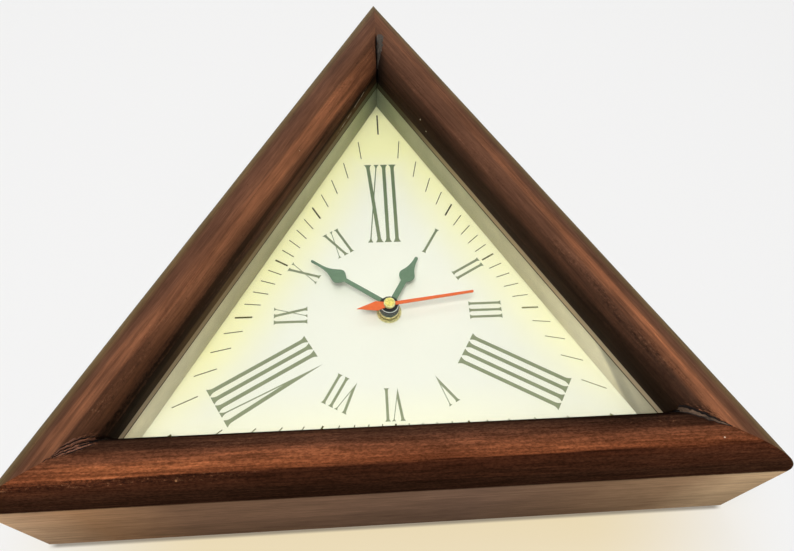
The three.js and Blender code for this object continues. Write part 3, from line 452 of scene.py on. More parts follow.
def bare_wood(name, turn):
    """Unstained wood with its grain turned about the depth."""
    s = Shader(name)
    streak = s.noise(s.stretch(s.here, 9, 260, 260, turn), 1.0, 4, 0.6)
    fibre = s.noise(s.stretch(s.here, 40, 1500, 1500, turn), 1.0, 2)
    colour = s.ramp(streak, [(0.3, (150, 118, 80)), (0.7, (196, 164, 120))])
    return s.coat(s.shaded(colour, s.slope(fibre, 0.4, 0.8)), fibre, (0.65, 0.85), (0.35, 0.4))


def speckled(name, dark, pale, scale, rough, bump=0.2, metal=0.0):
    """A plain surface with fine mottling in its colour, gloss and relief."""
    s = Shader(name)
    grit = s.noise(s.here, scale, 4, 0.65)
    colour = s.ramp(grit, [(0.3, dark), (0.7, pale)])
    return s.coat(colour, grit, rough, (bump, 0.3), (0.25, 0.75), Metallic=metal)


def dial_paper():
    """Ivory paper that yellows towards the edges of the triangle, least along the foot, with painted shade
    that darkens it slightly towards the foot and greys its apex tip.
    """
    s = Shader("dial_paper")
    x, _, rise = s.parts(s.millimetres(s.here, level=AXIS_Z))
    wide = s.times(s.math("ABSOLUTE", x), ROOT3 / 2)
    reach = s.most(s.slope(rise, 0.5, wide), s.times(rise, -1.0))
    mottle = s.noise(s.here, 60, 5, 0.6)
    age = s.times(s.fade(reach, 40, 83), s.fade(rise, -75, -10, 0.35, 1.0),
                  s.fade(mottle, 0.1, 0.8, 0.85, 1.05), s.fade(x, 20, 80, 1.0, 0.7))
    # Slightly darker towards the foot: painted shade
    plain = s.mix(s.fade(rise, -80, 30), (241, 240, 230), (249, 248, 236))
    colour = s.mix(s.most(age, s.fade(rise, 85, 125)), plain, (255, 251, 195))
    # Greenish grey at the apex tip: painted shade
    colour = s.mix(s.fade(rise, 146, 162, 0.0, 0.5), colour, (122, 124, 92))
    fibre = s.noise(s.here, 1500, 2)
    return s.coat(colour, fibre, (0.7, 0.85), (0.08, 0.2))


def dial_ink(name, high, low, right, gloss):
    """Printed ink, faded towards the foot and the right of the dial."""
    s = Shader(name)
    grit = s.noise(s.here, 520, 4, 0.65)
    x, _, z = s.parts(s.millimetres(s.here))
    colour = s.mix(s.fade(x, 45, 100), s.mix(s.fade(z, -90, -170), high, low), right)
    colour = s.shaded(colour, s.fade(grit, 0.25, 0.75, 0.93, 1.06))
    return s.coat(colour, grit, (0.55, 0.7), (0.05, 0.3), (0.25, 0.75), Specular_IOR_Level=gloss)


def from_axis(s, x, rise):
    return s.math("SQRT", s.plus(s.times(x, x), s.times(rise, rise)))


def hand_paint():
    """Green-grey enamel on the blades and near-black on the hubs, with a painted glint on the hub's lower
    edge.
    """
    s = Shader("hand_paint")
    x, _, rise = s.parts(s.millimetres(s.here, level=AXIS_Z))
    radius = from_axis(s, x, rise)
    grit = s.noise(s.here, 900)
    blade = s.ramp(grit, [(0.3, (96, 124, 97)), (0.7, (112, 140, 112))])
    colour = s.mix(s.fade(radius, 6.0, 5.5), blade, (20, 25, 24))
    facing = s.fade(s.parts(s.coords["Normal"])[1], -0.5, -0.8)
    # Pale ring on the lower edge of the hub: a painted glint
    wear_and_glint = s.times(s.fade(s.gap(radius, 5.1), 0.35, 0.15), s.fade(rise, 1, -2))
    return s.coat(s.over(colour, (196, 202, 194), wear_and_glint, facing), grit, (0.34, 0.48), (0.1, 0.2))


def turned_brass(name, stops, across, metal=0.35):
    """Pale brass whose colour follows its depth, or its distance from the axis."""
    s = Shader(name)
    x, depth, rise = s.parts(s.millimetres(s.here, level=AXIS_Z))
    low, high = stops[0][0], stops[-1][0]
    value = from_axis(s, x, rise) if across else depth
    share = s.math("DIVIDE", s.plus(value, -low), high - low)
    colour = s.ramp(share, [((at - low) / (high - low), tone) for at, tone in stops])
    grit = s.noise(s.here, 700)
    colour = s.shaded(colour, s.fade(grit, 0.2, 0.8, 0.94, 1.05))
    return s.coat(colour, grit, (0.22, 0.34), (0.03, 0.2), Metallic=metal)


def clear_glass():
    """Clear glass that lets lamps through."""
    s = Shader("clear_glass")
    s.set(Base_Color=(0.97, 0.99, 0.98, 1.0), Roughness=0.0, IOR=1.46, Transmission_Weight=1.0)
    path = s.node("LightPath").outputs
    open_air = s.node("BsdfTransparent", {"Color": (0.97, 0.98, 0.97, 1.0)}).outputs[0]
    s.surface(s.most(path["Is Shadow Ray"], path["Is Diffuse Ray"]), s.body.outputs[0], open_air)
    return s.look


def wall_paint():
    """A pale wall seen from one side only, with some light of its own for the eye, a painted warm glow below
    the case and a painted contact shadow under its foot.
    """
    s = Shader("wall_paint")
    path = s.node("LightPath").outputs
    seen = s.most(path["Is Camera Ray"], path["Is Glossy Ray"], path["Is Transmission Ray"])
    x, _, rise = s.parts(s.millimetres(s.here, level=AXIS_Z - CASE * MM))
    beside = s.math("ABSOLUTE", x)
    # Painted warm glow of light bounced from the wood, below the case
    painted_warm_glow = s.times(s.fade(rise, -110, 0), s.fade(rise, 40, 0), s.fade(beside, 240, 100))
    tint = s.mix(painted_warm_glow, (0.74, 0.74, 0.74, 1.0), (0.70, 0.58, 0.35, 1.0))
    # Painted contact shadow: a dark line just under the foot of the case
    contact = s.times(s.fade(rise, -2.6, -0.6), s.fade(rise, 20, 10), s.fade(beside, 192, 186))
    tint = s.over(tint, (0.10, 0.07, 0.04, 1.0), contact, 0.8)
    matt = s.node("BsdfDiffuse", {"Color": (0.15, 0.15, 0.15, 1.0)}).outputs[0]
    light = s.node("Emission", {"Color": tint, "Strength": seen}).outputs[0]
    both = s.node("AddShader", {0: matt, 1: light}).outputs[0]
    s.surface(s.node("NewGeometry").outputs["Backfacing"], both, s.node("BsdfTransparent").outputs[0])
    return s.look


def pale_world():
    """Soft light that is brighter from above, and a near-white ground for the eye."""
    s = Shader("world", world=True)
    up = s.parts(s.coords["Generated"])[2]
    level = {"Value": up, "From Min": -1.0, "From Max": 1.0, "To Min": 0.06, "To Max": 0.32}
    s.set(Color=(0.98, 0.98, 1.0, 1.0), Strength=s.node("MapRange", level).outputs["Result"])
    seen = s.node("Background", {"Color": (0.887, 0.887, 0.887, 1.0)}).outputs[0]
    s.surface(s.node("LightPath").outputs["Is Camera Ray"], s.body.outputs[0], seen)
    return s.look


def add_object(name, data):
    piece = bpy.data.objects.new(name, data)
    bpy.context.scene.collection.objects.link(piece)
    return piece


def dress(piece, material):
    piece.data.materials.clear()
    piece.data.materials.append(material)


def solid(name, corners, faces):
    """An object from corners in metres, with its faces turned outward."""
    mesh = bpy.data.meshes.new(name)
    mesh.from_pydata(corners, [], faces)
    work = bmesh.new()
    work.from_mesh(mesh)
    bmesh.ops.remove_doubles(work, verts=work.verts, dist=1e-7)
    bmesh.ops.recalc_face_normals(work, faces=work.faces)
    work.to_mesh(mesh)
    work.free()
    return add_object(name, mesh)


def smooth(piece, angle):
    piece.data.shade_smooth()
    piece.data.set_sharp_from_angle(angle=math.radians(angle))


def spot_m(x, depth, rise):
    """A place in millimetres, its height from the hand axis, in metres."""
    return (x * MM, -depth * MM, rise * MM + AXIS_Z)


def box_cutter(low, high):
    """A box between two corners, to be cut out and removed."""
    corners = [spot_m(*corner) for corner in product(*zip(low, high))]
    faces = [(0, 1, 3, 2), (4, 6, 7, 5), (0, 4, 5, 1), (2, 3, 7, 6), (0, 2, 6, 4), (1, 5, 7, 3)]
    return solid("cutter", corners, faces)


# Rails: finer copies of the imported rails, with worn mitres, dents and gouges cut into them
CROWN_STEPS = 56
# Steps along a rail from each end, as pairs of length and count, and how many share the middle
END_STEPS = ((0.45, 30), (1.1, 44))
MIDDLE_STEPS = 70
# Edges sharper than this many degrees stay sharp
SMOOTH_RAIL = 38
SMOOTH_FILLER = 40
# Dents in each rail: place along it, inradius, radius and depth
DENTS = {
    "bottom": [(81.8, 95.2, 2.6, 0.5), (84.0, 96.4, 1.6, 0.5), (123.2, 95.8, 1.7, 0.6),
               (153.3, 96.9, 0.9, 0.5), (-101.6, 103.6, 1.5, 0.6), (-128.8, 102.6, 1.3, 0.4),
               (-40.0, 104.0, 1.8, 0.35), (20.0, 90.0, 2.0, 0.3)],
    "left": [(-129.0, 88.7, 1.6, 0.5), (-50.6, 84.6, 1.5, 0.5), (60.0, 98.0, 2.2, 0.3)],
    "right": [(-107.0, 86.3, 2.6, 0.45), (-119.4, 87.0, 2.2, 0.5), (88.6, 82.0, 1.2, 0.4),
              (153.9, 93.5, 1.6, 0.6), (-20.0, 100.0, 2.0, 0.3)],
}
# The moulding's slow unevenness, and how far from a mitre its wear reaches
UNEVEN = 0.10
WEAR_REACH = 12.0
# The fine line along a mitre: its depth, what an open joint adds to that, and its width
HAIRLINE = (0.03, 0.08, 0.7)
# Splits in torn wood: how many to the millimetre with their share of the depth, and how narrow they are
SPLITS = ((0.45, 1.0), (0.95, 0.5))
SPLIT_WIDTH = 0.16
# The keyhole plate's recess and the pocket for the screw head behind it, at the apex of the back
PLATE_CENTRE = 2 * REBATE + 11.0
PLATE_RECESS = ((-16.3, -1.0, PLATE_CENTRE - 7.3), (16.3, 1.8, PLATE_CENTRE + 7.3))
SCREW_POCKET = ((-4.5, -1.0, PLATE_CENTRE - 7.5), (4.5, 9.0, PLATE_CENTRE + 7.5))


def crown_depth(inradius):
    """How far forward the moulding stands at an inradius."""
    middle = CASE - FACE / 2
    share = min(1.0, abs(inradius - middle) / (FACE / 2))
    return LIP_BASE + CROWN * (1 - share ** CROWN_POWER) ** (1 / CROWN_POWER)


def between(first, last, count):
    return [first + (last - first) * i / count for i in range(count)]


def unit(value):
    return min(1.0, max(0.0, value))


def rail_section():
    """The section as inradius and depth, from the foot of the rebate outward and round the front."""
    section = [(a, 0.0) for a in between(REBATE, CASE - ARRIS, 6)]
    for i in range(4):
        turn = math.pi / 2 * i / 3
        section.append((CASE - ARRIS + ARRIS * math.sin(turn), ARRIS - ARRIS * math.cos(turn)))
    section += [(CASE, d) for d in between(ARRIS + 4, LIP_BASE, 16)]
    for i in range(CROWN_STEPS + 1):
        angle = math.pi * i / CROWN_STEPS
        bend = math.cos(angle)
        across = math.copysign(abs(bend) ** (2 / CROWN_POWER), bend)
        rise = math.sin(angle) ** (2 / CROWN_POWER) if 0 < i < CROWN_STEPS else 0.0
        section.append((CASE - FACE / 2 + FACE / 2 * across, LIP_BASE + CROWN * rise))
    section += [(LIP, d) for d in between(LIP_BASE - 1, SEAT + 0.5, 3)]
    section += [(LIP + 0.15, SEAT + 0.15)]
    section += [(a, SEAT) for a in between(LIP + 0.6, REBATE, 3)]
    section += [(REBATE, d) for d in between(SEAT, 0.0, 9)]
    return section


def section_normals(section):
    """Outward normals of a closed section that runs counterclockwise."""
    normals = []
    for before, after in zip(section[-1:] + section[:-1], section[1:] + section[:1]):
        run, climb = after[0] - before[0], after[1] - before[1]
        length = math.hypot(run, climb) or 1.0
        normals.append((climb / length, -run / length))
    return normals


def stations(half):
    """Places along a rail of a given half length, closest together near its ends."""
    steps, reach = [], 0.0
    for length, count in END_STEPS:
        steps += [reach + length * i for i in range(count)]
        reach = steps[-1] + length
    middle = between(-half + reach, half - reach, MIDDLE_STEPS) + [half - reach]
    return [-half + e for e in steps] + middle + [half - e for e in reversed(steps)]


def mitre_cut(rail, corner, away, spot):
    """How far wear beside one joint lowers the surface."""
    _, inradius, depth = spot
    width, deep, end, _ = OPEN_JOINTS[corner]
    inner = unit((end + 2 * noise.noise(spot * 0.45) - inradius) / 3)
    width *= 0.8 + 0.6 * noise.noise(spot * 0.2 + Vector((7, 3, 1)))
    open_up = inner * unit((depth - LIP_BASE - 1) / 4)
    cut = open_up * deep * max(0.0, 1 - away / max(0.25, width))
    line, open_line, line_width = HAIRLINE
    cut += (line + open_line * inner) * max(0.0, 1 - away / line_width)
    reach, torn, _ = TORN[corner, rail]
    fade = inner * unit((inradius - LIP - 0.5) / 3) * max(0.0, 1 - away / reach)
    if fade > 0:
        for size, share in SPLITS:
            wave = noise.noise(Vector((inradius * size, away * size * 1.5, 3.0 + CORNERS[corner])))
            cut += fade * torn * share * max(0.0, 1 - abs(wave) / SPLIT_WIDTH)
        cut += fade * torn * 0.5 * max(0.0, noise.noise(spot * 0.8))
    return cut


def cut_depth(rail, along, inradius, depth):
    """How far the surface lies below the true section, in millimetres."""
    if depth < LIP_BASE - 4 or inradius > CASE - 0.2:
        return 0.0
    spot = Vector((along, inradius, depth))
    cut = UNEVEN * (1 + noise.noise(spot * 0.03)) * min(1.0, (depth - LIP_BASE + 4) / 10)
    half = inradius * ROOT3 - MITRE_GAP
    for corner, gap in zip(RAIL_ENDS[rail], (half + along, half - along)):
        away = max(0.0, gap / 2)
        if away <= WEAR_REACH:
            cut += mitre_cut(rail, corner, away, spot)
    for place, at, radius, sunk in DENTS[rail]:
        gap = math.hypot(along - place, inradius - at) / radius
        cut += sunk * math.exp(-gap * gap * 2)
    return cut


def rail_piece(rail, cutters):
    section = rail_section()
    turned = Matrix.Translation((0.0, 0.0, AXIS_Z)) @ Matrix.Rotation(TURNS[rail], 4, "Y")
    corners, faces, rows = [], [], []
    for (a, d), (na, nd) in zip(section, section_normals(section)):
        row = []
        for along in stations(a * ROOT3 - MITRE_GAP):
            sunk = cut_depth(rail, along, a, d)
            row.append(len(corners))
            corners.append(turned @ Vector((along * MM, -(d - nd * sunk) * MM, -(a - na * sunk) * MM)))
        rows.append(row)
    for first, second in zip(rows, rows[1:] + rows[:1]):
        for j in range(len(first) - 1):
            faces.append((first[j], first[j + 1], second[j + 1], second[j]))
    faces.append([row[0] for row in rows])
    faces.append([row[-1] for row in reversed(rows)])
    piece = solid("case_rail_" + rail, corners, faces)
    for cutter in cutters:
        cut = piece.modifiers.new("cut", "BOOLEAN")
        cut.operation, cut.solver, cut.object = "DIFFERENCE", "EXACT", cutter
    evaluated = piece.evaluated_get(bpy.context.evaluated_depsgraph_get())
    mesh = bpy.data.meshes.new_from_object(evaluated)
    piece.modifiers.clear()
    piece.data = mesh
    dress(piece, case_wood(rail))
    smooth(piece, SMOOTH_RAIL)
    return piece


# Filler in the joints: inradius on the mitre, and the two edges measured across it
FILLER = {
    "top": [(80.2, 0.2, 0.9), (81.5, 0.3, 1.9), (83.0, 0.4, 2.9), (85.0, 0.5, 3.9), (87.0, 0.5, 4.7),
            (88.3, 0.6, 4.9), (89.3, 0.8, 4.6), (90.0, 1.1, 3.9)],
    "right": [(79.6, -1.4, -0.6), (80.5, -1.3, 0.1), (82.0, -1.1, 0.8), (83.5, -0.8, 1.2), (85.6, -0.3, 1.5),
              (87.0, 0.0, 1.4), (88.5, 0.1, 1.1), (90.0, 0.2, 0.8), (91.0, 0.3, 0.5)],
}
# Dark strips of painted shade laid in the cracks, each named after its corner
CRACK = {
    "top": [(79.6, -0.6, -0.2), (81.5, -0.1, 0.3), (84.0, 0.2, 0.5), (87.0, 0.2, 0.5), (89.3, 0.5, 0.8)],
    "right": [(79.4, -2.4, -1.3), (82.0, -2.0, -1.0), (84.5, -1.3, -0.4), (87.0, -0.8, 0.1),
              (89.0, -0.5, 0.3), (91.6, 0.0, 0.4)],
    "right_low": [(79.4, -0.6, 1.0), (81.0, 0.3, 1.6), (83.5, 1.2, 2.1), (86.0, 1.5, 2.1),
                  (88.5, 1.1, 1.5), (91.0, 0.5, 0.8)],
    "left": [(79.4, -0.3, 0.2), (82.0, -0.2, 0.1), (85.0, 0.4, 0.7), (88.0, 0.5, 0.8), (91.0, 0.1, 0.3),
             (92.6, 0.0, 0.2)],
    "left_low": [(80.6, -1.7, -1.4), (83.5, -1.4, -0.9), (87.0, -0.8, -0.4), (90.5, -0.2, 0.0)],
    "left_foot": [(81.6, -3.5, -3.2), (84.0, -3.1, -2.6), (86.5, -2.4, -2.0), (88.5, -1.7, -1.5)],
    "left_high": [(81.0, 1.2, 1.5), (84.0, 1.9, 2.3), (87.0, 2.0, 2.4), (89.6, 1.2, 1.4)],
}
# Splinters that stand up beside the left joint
SPLINTERS = [
    [(81.6, -2.7, -2.5), (83.0, -2.8, -1.9), (85.0, -2.4, -1.4), (87.5, -1.7, -0.9), (90.2, -0.8, -0.6)],
    [(82.6, -0.7, -0.5), (85.0, -0.5, 0.2), (88.0, -0.1, 0.4), (91.6, 0.0, 0.1)],
    [(81.2, 0.5, 0.7), (84.5, 1.0, 1.7), (87.5, 1.1, 1.8), (90.4, 0.6, 0.8)],
    [(83.6, 2.4, 2.6), (85.0, 2.5, 3.2), (87.6, 2.5, 2.8)],
]
STRIP_CUTS = 8
STRIP_STEPS = 8
STRIP_DEPTH = 3.0
# How far a strip may bridge a hollow, and how far its edges lie below the moulding
STRIP_BRIDGE = 0.8
STRIP_EDGE = 0.1


def strip_rows(edges):
    """The rows of a strip, eased between the given ones."""
    rows = []
    for (a, left, right), (b, next_left, next_right) in zip(edges, edges[1:]):
        for part in between(0.0, 1.0, STRIP_STEPS):
            ease = part * part * (3 - 2 * part)
            rows.append((a + (b - a) * part, left + (next_left - left) * ease,
                         right + (next_right - right) * ease))
    return rows + [edges[-1]]


def filler_strip(name, corner, edges, rise, wave, material):
    """A strip laid along a mitre between two edges, standing a little above the moulding."""
    turn = math.radians(CORNERS[corner])
    out = Vector((math.sin(turn), 0, math.cos(turn)))
    beside = Vector((math.cos(turn), 0, -math.sin(turn)))
    rows = strip_rows(edges)
    top, foot = [], []
    for inradius, left, right in rows:
        middle = (left + right) / 2 + wave * noise.noise(Vector((inradius * 0.9, CORNERS[corner], 1.0)))
        half = (right - left) / 2
        half *= 1 + 0.7 * noise.noise(Vector((inradius * 1.4, CORNERS[corner] + left, 6.0)))
        left, right = middle - half, middle + half
        ends = [crown_depth(inradius + abs(q) * ROOT3 / 2) for q in (left, right)]
        for k in range(STRIP_CUTS + 1):
            part = k / STRIP_CUTS
            q = left + (right - left) * part
            ground = crown_depth(inradius + abs(q) * ROOT3 / 2)
            chord = ends[0] + (ends[1] - ends[0]) * part
            level = min(max(ground, 0.5 * (ground + chord)), ground + STRIP_BRIDGE)
            level += rise * math.sin(math.pi * part) ** 0.5 - STRIP_EDGE
            level += 0.5 * rise * noise.noise(Vector((inradius * 1.3, q * 1.3, 3.0)))
            point = out * (2 * inradius) + beside * q
            top.append(spot_m(point.x, level, point.z))
            foot.append(spot_m(point.x, level - STRIP_DEPTH, point.z))
    wide, steps, total = STRIP_CUTS + 1, len(rows) - 1, len(top)
    faces = []
    for i in range(steps):
        for k in range(STRIP_CUTS):
            a = i * wide + k
            faces.append((a, a + 1, a + wide + 1, a + wide))
            faces.append(tuple(total + n for n in (a + wide, a + wide + 1, a + 1, a)))
    rim = list(range(wide))
    rim += [i * wide + STRIP_CUTS for i in range(1, steps + 1)]
    rim += [steps * wide + k for k in range(STRIP_CUTS - 1, -1, -1)]
    rim += [i * wide for i in range(steps - 1, 0, -1)]
    for first, second in zip(rim, rim[1:] + rim[:1]):
        faces.append((first, second, total + second, total + first))
    piece = solid(name, top + foot, faces)
    dress(piece, material)
    smooth(piece, SMOOTH_FILLER)
    return piece


# Dial ink: numerals that stand radially, feet to the centre, and a minute track along the edges
SMALL = Style(inner=46.95, outer=66.0, stroke=1.5, hair=0.45, serif=2.9, hair_serif=2.0,
              bracket=1.7, lean=2.1, hair_lean=2.6, spread=2.5, tip=-0.45)
LARGE = Style(inner=48.8, outer=109.3, stroke=2.2, hair=0.7, serif=4.5, hair_serif=3.1,
              bracket=3.4, lean=2.63, hair_lean=3.03, spread=2.88, tip=-0.72)
# Each hour's letters and their places across the numeral
NUMERALS = {
    1: ("I", [-0.1]),
    2: ("II", [-1.85, 2.35]),
    3: ("III", [-4.0, 0.4, 4.75]),
    4: ("IIII", [-8.0, -2.6, 3.0, 8.55]),
    5: ("V", [0.45]),
    6: ("VI", [-1.6, 4.05]),
    7: ("VII", [-3.9, 1.9, 6.3]),
    8: ("VIII", [-6.9, 0.15, 5.5, 10.7]),
    9: ("IX", [-3.95, 2.2]),
    10: ("X", [0.1]),
    11: ("XI", [-2.15, 3.95]),
    12: ("XII", [-5.55, 2.25, 7.75]),
}
TRACK_OUTER = 76.2
TRACK_INNER = 67.7
HOUR_TICK = 0.5
MINUTE_TICK = 0.26
# Between these minutes, along the foot, each tick is longer than the one before
LONG_TICKS = range(29, 40)
TICK_GROWTH = 0.13
INK_FRONT = SHEET_FRONT + 0.07
INK_BACK = SHEET_FRONT - 0.02


def flare(gap, bracket):
    """The share of the serif's overhang at a distance from the end of a stroke."""
    return (1 - unit((gap - 0.08 * bracket) / bracket)) ** 2.4


def stroke(style, outer_x, inner_x, width, serif, feet=(True, True)):
    """The outline of one stroke, from its outer end to its inner end and back."""
    inner, outer, bracket = style.inner, style.outer, style.bracket
    near = [0.0, 0.1, 0.3, 0.5, 0.75, 1.08]
    heights = [outer - bracket * n for n in near] + [inner + bracket * n for n in reversed(near)]
    left, right = [], []
    for i, height in enumerate(heights):
        foot = 0 if i < len(near) else 1
        gap = outer - height if foot == 0 else height - inner
        over = (serif - width) / 2 * flare(gap, bracket) if feet[foot] else 0.0
        middle = inner_x + (outer_x - inner_x) * (height - inner) / (outer - inner)
        left.append((middle - width / 2 - over, height))
        right.append((middle + width / 2 + over, height))
    return left + right[::-1]


def clip(outline, start, end):
    """The part of an outline to the left of the line from start to end."""
    def side(point):
        return (end[0] - start[0]) * (point[1] - start[1]) - (end[1] - start[1]) * (point[0] - start[0])
    kept = []
    for first, second in zip(outline, outline[1:] + outline[:1]):
        a, b = side(first), side(second)
        if a >= 0:
            kept.append(first)
        if (a >= 0) != (b >= 0):
            part = a / (a - b)
            kept.append(tuple(p + (q - p) * part for p, q in zip(first, second)))
    return kept


def letter_outlines(letter, style, at):
    inner, outer = style.inner, style.outer
    width, hair = style.stroke, style.hair
    if letter == "I":
        return [stroke(style, at, at, width, style.serif)]
    if letter == "X":
        lean, thin = style.lean, style.hair_lean
        thick = stroke(style, at - lean, at + lean, width, style.serif)
        cross = stroke(style, at + thin, at - thin, hair, style.hair_serif)
        edges = [((at - lean + s * width / 2, outer), (at + lean + s * width / 2, inner)) for s in (-1, 1)]
        return [thick, clip(cross, edges[0][1], edges[0][0]), clip(cross, *edges[1])]
    spread, tip = style.spread, at + style.tip
    thick_edge = tip + width / 2
    hair_edge = tip - hair / 2
    thick = stroke(style, at - spread, thick_edge, width, style.serif, (True, False))
    cross = stroke(style, at + spread, hair_edge, hair, style.hair_serif, (True, False))
    far = ((at + spread + hair / 2, outer), (tip, inner))
    near = ((at - spread + width / 2, outer), (thick_edge + width / 2, inner))
    return [clip(thick, far[1], far[0]), clip(cross, *near)]


def swung(outline, degrees):
    """An outline given across and along a radius, turned clockwise to its place on the dial."""
    turn = math.radians(degrees)
    return [(x * math.cos(turn) + r * math.sin(turn), r * math.cos(turn) - x * math.sin(turn))
            for x, r in outline]


def numeral_outlines():
    outlines = []
    for hour, (letters, places) in NUMERALS.items():
        style = LARGE if hour % 4 == 0 else SMALL
        for letter, at in zip(letters, places):
            outlines += [swung(outline, 30 * hour) for outline in letter_outlines(letter, style, at)]
    return outlines


def track_outlines():
    outlines = []
    for minute in range(60):
        lean = min(abs((6 * minute - n + 180) % 360 - 180) for n in (60, 180, 300))
        stretch = 1 / math.cos(math.radians(lean))
        half = HOUR_TICK if minute % 5 == 0 else MINUTE_TICK
        longer = TICK_GROWTH * (minute - LONG_TICKS[0] + 1) if minute in LONG_TICKS else 0.0
        inner, outer = (TRACK_INNER - longer) * stretch, TRACK_OUTER * stretch
        outlines.append(swung([(-half, inner), (half, inner), (half, outer), (-half, outer)], 6 * minute))
    return outlines


def ink_piece(name, outlines, material):
    """Flat ink on the sheet from outlines in x and z, in millimetres from the hand axis."""
    corners, faces = [], []
    for outline in outlines:
        first, count = len(corners), len(outline)
        for depth in (INK_FRONT, INK_BACK):
            corners += [spot_m(x, depth, z) for x, z in outline]
        faces.append(tuple(range(first, first + count)))
        faces.append(tuple(range(first + 2 * count - 1, first + count - 1, -1)))
        for i in range(count):
            j = (i + 1) % count
            faces.append((first + i, first + count + i, first + count + j, first + j))
    piece = solid(name, corners, faces)
    dress(piece, material)
    return piece


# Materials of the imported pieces
nodes = frame["nodes"]
screws = [name for name in nodes if "screw" in name]
wheels = [name for name in nodes if name.endswith("_wheel")]
dowels = [name for name in nodes if name.startswith("dowel")]
# The nut darkens towards its base as painted shade
nut_shade_by_depth = [(50.2, (92, 88, 34)), (51.2, (146, 136, 58)), (52.2, (232, 216, 140)), (53.0, (252, 244, 196))]
washer_tones = [(3.0, (196, 184, 104)), (6.6, (238, 230, 164)), (7.3, (244, 238, 180)),
                  (8.0, (150, 142, 76))]
cap_tones = [(0.0, (252, 236, 124)), (2.4, (250, 232, 122)), (3.0, (255, 250, 184)), (3.6, (196, 178, 88))]
looks = [
    (clear_glass(), ["glass_pane"]),
    (spacer_card(), ["spacer_bottom", "spacer_left", "spacer_right"]),
    (dial_paper(), ["dial_sheet"]),
    (speckled("hardboard", (84, 58, 38), (132, 96, 64), 420, (0.7, 0.9), 0.3), ["dial_board"]),
    (speckled("steel", (150, 151, 153), (196, 196, 196), 260, (0.25, 0.45), 0.08, 1.0),
     ["keyhole_plate", "stator", "coil_core", "quartz_crystal", "negative_contact", "positive_contact",
      *screws]),
    (speckled("brass", (236, 214, 122), (246, 230, 148), 320, (0.2, 0.32), 0.03, 0.4),
     ["threaded_bush", "minute_arbor"]),
    (turned_brass("nut_brass", nut_shade_by_depth, False), ["brass_nut"]),
    (turned_brass("washer_brass", washer_tones, True), ["brass_washer"]),
    (turned_brass("cap_brass", cap_tones, True, 0.2), ["hand_cap"]),
    (speckled("copper_wire", (134, 66, 34), (184, 98, 52), 900, (0.3, 0.45), 0.4, 1.0), ["coil_winding"]),
    (speckled("black_plastic", (17, 18, 19), (30, 31, 33), 2600, (0.42, 0.58), 0.25),
     ["movement_case", "movement_cover", "setting_knob"]),
    (speckled("gear_plastic", (222, 216, 198), (238, 234, 220), 500, (0.4, 0.5), 0.05),
     ["train_plate", "coil_bobbin", "rotor", *wheels]),
    (speckled("rubber", (26, 26, 26), (44, 44, 44), 1400, (0.75, 0.9), 0.3), ["rubber_washer"]),
    (speckled("circuit_green", (26, 84, 50), (44, 112, 70), 600, (0.35, 0.5), 0.05), ["circuit_board"]),
    (speckled("battery_sleeve", (44, 70, 98), (62, 92, 124), 240, (0.25, 0.38), 0.05), ["battery"]),
    (hand_paint(), ["hour_hand", "minute_hand"]),
    (speckled("red_paint", (230, 94, 30), (240, 110, 40), 800, (0.35, 0.48), 0.08), ["second_hand"]),
]
looks += [(bare_wood("cleat_wood_" + rail, turn), ["cleat_" + rail]) for rail, turn in TURNS.items()]
looks += [(bare_wood("wood_" + name, 0.0), [name]) for name in dowels]
for look, names in looks:
    for name in names:
        dress(nodes[name], look)

plate_cutters = [box_cutter(*PLATE_RECESS), box_cutter(*SCREW_POCKET)]
for rail in TURNS:
    cutters = [nodes[n] for n in nodes if n.startswith(("dowel", "cleat_screw_" + rail))]
    piece = rail_piece(rail, cutters + (plate_cutters if rail != "bottom" else []))
    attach(piece, "case")
    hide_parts("rail_" + rail)
for cutter in plate_cutters:
    bpy.data.objects.remove(cutter)

fillings = {"top": putty("putty_top", (34, 31, 27), (82, 74, 66), 0.0),
            "right": putty("putty_right", (48, 38, 30), (108, 86, 70), math.radians(CORNERS["right"]))}
# Near-black strips along the cracks: painted shade
painted_crack_shade = speckled("joint_painted_shade", (8, 6, 5), (22, 15, 12), 900, (0.75, 0.9), 0.4)
splintered = speckled("splinter_wood", (58, 38, 30), (146, 96, 72), 800, (0.6, 0.8), 0.5)
joints = [filler_strip("filler_" + c, c, edges, 0.12, 0.5, fillings[c]) for c, edges in FILLER.items()]
joints += [filler_strip("crack_" + name, name.split("_")[0], edges, 0.12, 0.45, painted_crack_shade)
           for name, edges in CRACK.items()]
joints += [filler_strip("splinter_%d" % i, "left", edges, 0.3, 0.45, splintered)
           for i, edges in enumerate(SPLINTERS)]
for piece in joints:
    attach(piece, "case")

numeral_ink = dial_ink("dial_ink", (106, 123, 88), (140, 147, 114), (140, 147, 114), 0.5)
track_ink = dial_ink("track_ink", (56, 56, 18), (84, 81, 30), (148, 147, 106), 0.05)
for piece in (ink_piece("dial_numerals", numeral_outlines(), numeral_ink),
              ink_piece("dial_minute_track", track_outlines(), track_ink)):
    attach(piece, "case")

# Stage: a pale wall that is open behind the case, in metres
WALL_HALF = 3.0
WALL_FOOT = -0.62
WALL_Y = 0.0004
hole = (CASE - 0.6) * MM
wall = bpy.data.meshes.new("wall")
wall_places = [(-WALL_HALF, WALL_FOOT), (WALL_HALF, WALL_FOOT), (WALL_HALF, WALL_HALF),
               (-WALL_HALF, WALL_HALF), (-hole * ROOT3, AXIS_Z - hole), (hole * ROOT3, AXIS_Z - hole),
               (0.0, AXIS_Z + 2 * hole)]
wall.from_pydata([(x, WALL_Y, z) for x, z in wall_places], [],
                 [(0, 1, 5, 4), (1, 2, 6, 5), (2, 3, 6), (3, 0, 4, 6)])
wall.materials.append(wall_paint())
piece = add_object("wall", wall)


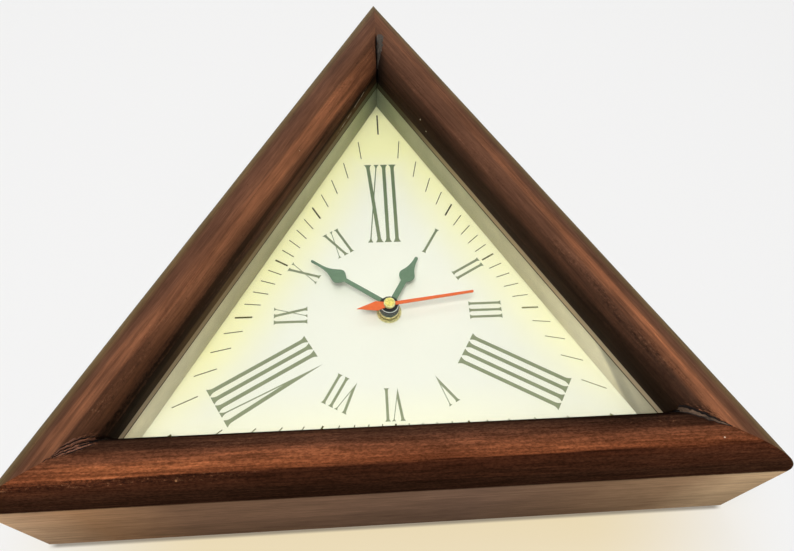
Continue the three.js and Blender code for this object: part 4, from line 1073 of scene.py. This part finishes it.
def area_lamp(name, place, target, size, power, colour=(1.0, 1.0, 1.0), mirrored=True, narrow=None):
    lamp = bpy.data.lights.new(name, "AREA")
    lamp.size = size
    if narrow:
        lamp.shape, lamp.size_y = "RECTANGLE", narrow
    lamp.energy = power
    lamp.color = colour
    holder = add_object(name, lamp)
    holder.location = place
    holder.visible_glossy = holder.visible_transmission = mirrored
    holder.rotation_euler = (Vector(target) - Vector(place)).to_track_quat("-Z", "Y").to_euler()


# Lamps in metres and watts. Those that are not mirrored leave no glint on the glass.
MIDDLE = (0.0, -0.05, -0.15)
area_lamp("front", (-0.07, -1.10, -0.46), MIDDLE, 0.45, 8.7, (1.0, 0.98, 0.94), mirrored=False)
area_lamp("front_high", (-0.05, -1.30, 0.25), MIDDLE, 0.6, 3.2, mirrored=False)
area_lamp("glint", (-0.07, -1.10, -0.60), MIDDLE, 0.12, 0.6)
area_lamp("under", (0.0, -0.045, -0.95), (0.0, -0.045, -0.29), 0.9, 3.3, mirrored=False, narrow=0.06)
area_lamp("overhead", (-0.15, -0.60, 1.25), MIDDLE, 1.0, 4.0, (1.0, 0.97, 0.92))
area_lamp("left", (-1.15, -0.95, 0.30), MIDDLE, 0.8, 1.5, mirrored=False)
area_lamp("right", (1.15, -0.95, 0.30), MIDDLE, 0.8, 1.5, mirrored=False)
area_lamp("rear", (0.5, 1.2, 0.6), MIDDLE, 1.2, 16.0)
area_lamp("rear_low", (-0.8, 1.0, -0.3), MIDDLE, 1.0, 8.0)
bpy.context.scene.world = pale_world()

# Camera at the photograph's place
camera_data = bpy.data.cameras.new("camera")
camera_data.sensor_fit = "HORIZONTAL"
camera_data.sensor_width = 36.0
camera_data.lens = 31.447
camera_data.shift_x = -0.01325
camera_data.shift_y = 0.04453
camera_data.clip_start = 0.01
camera = add_object("camera", camera_data)
ahead = Vector((0.07515, 0.87976, 0.46944)).normalized()
right = Vector((0.99654, -0.04955, -0.06668))
right = (right - ahead * right.dot(ahead)).normalized()
above = right.cross(ahead)
turned = Matrix((right, above, -ahead)).transposed().to_4x4()
camera.matrix_world = Matrix.Translation((-0.01948, -0.40437, -0.37184)) @ turned
bpy.context.scene.camera = camera
bpy.context.scene.view_settings.view_transform = "Standard"
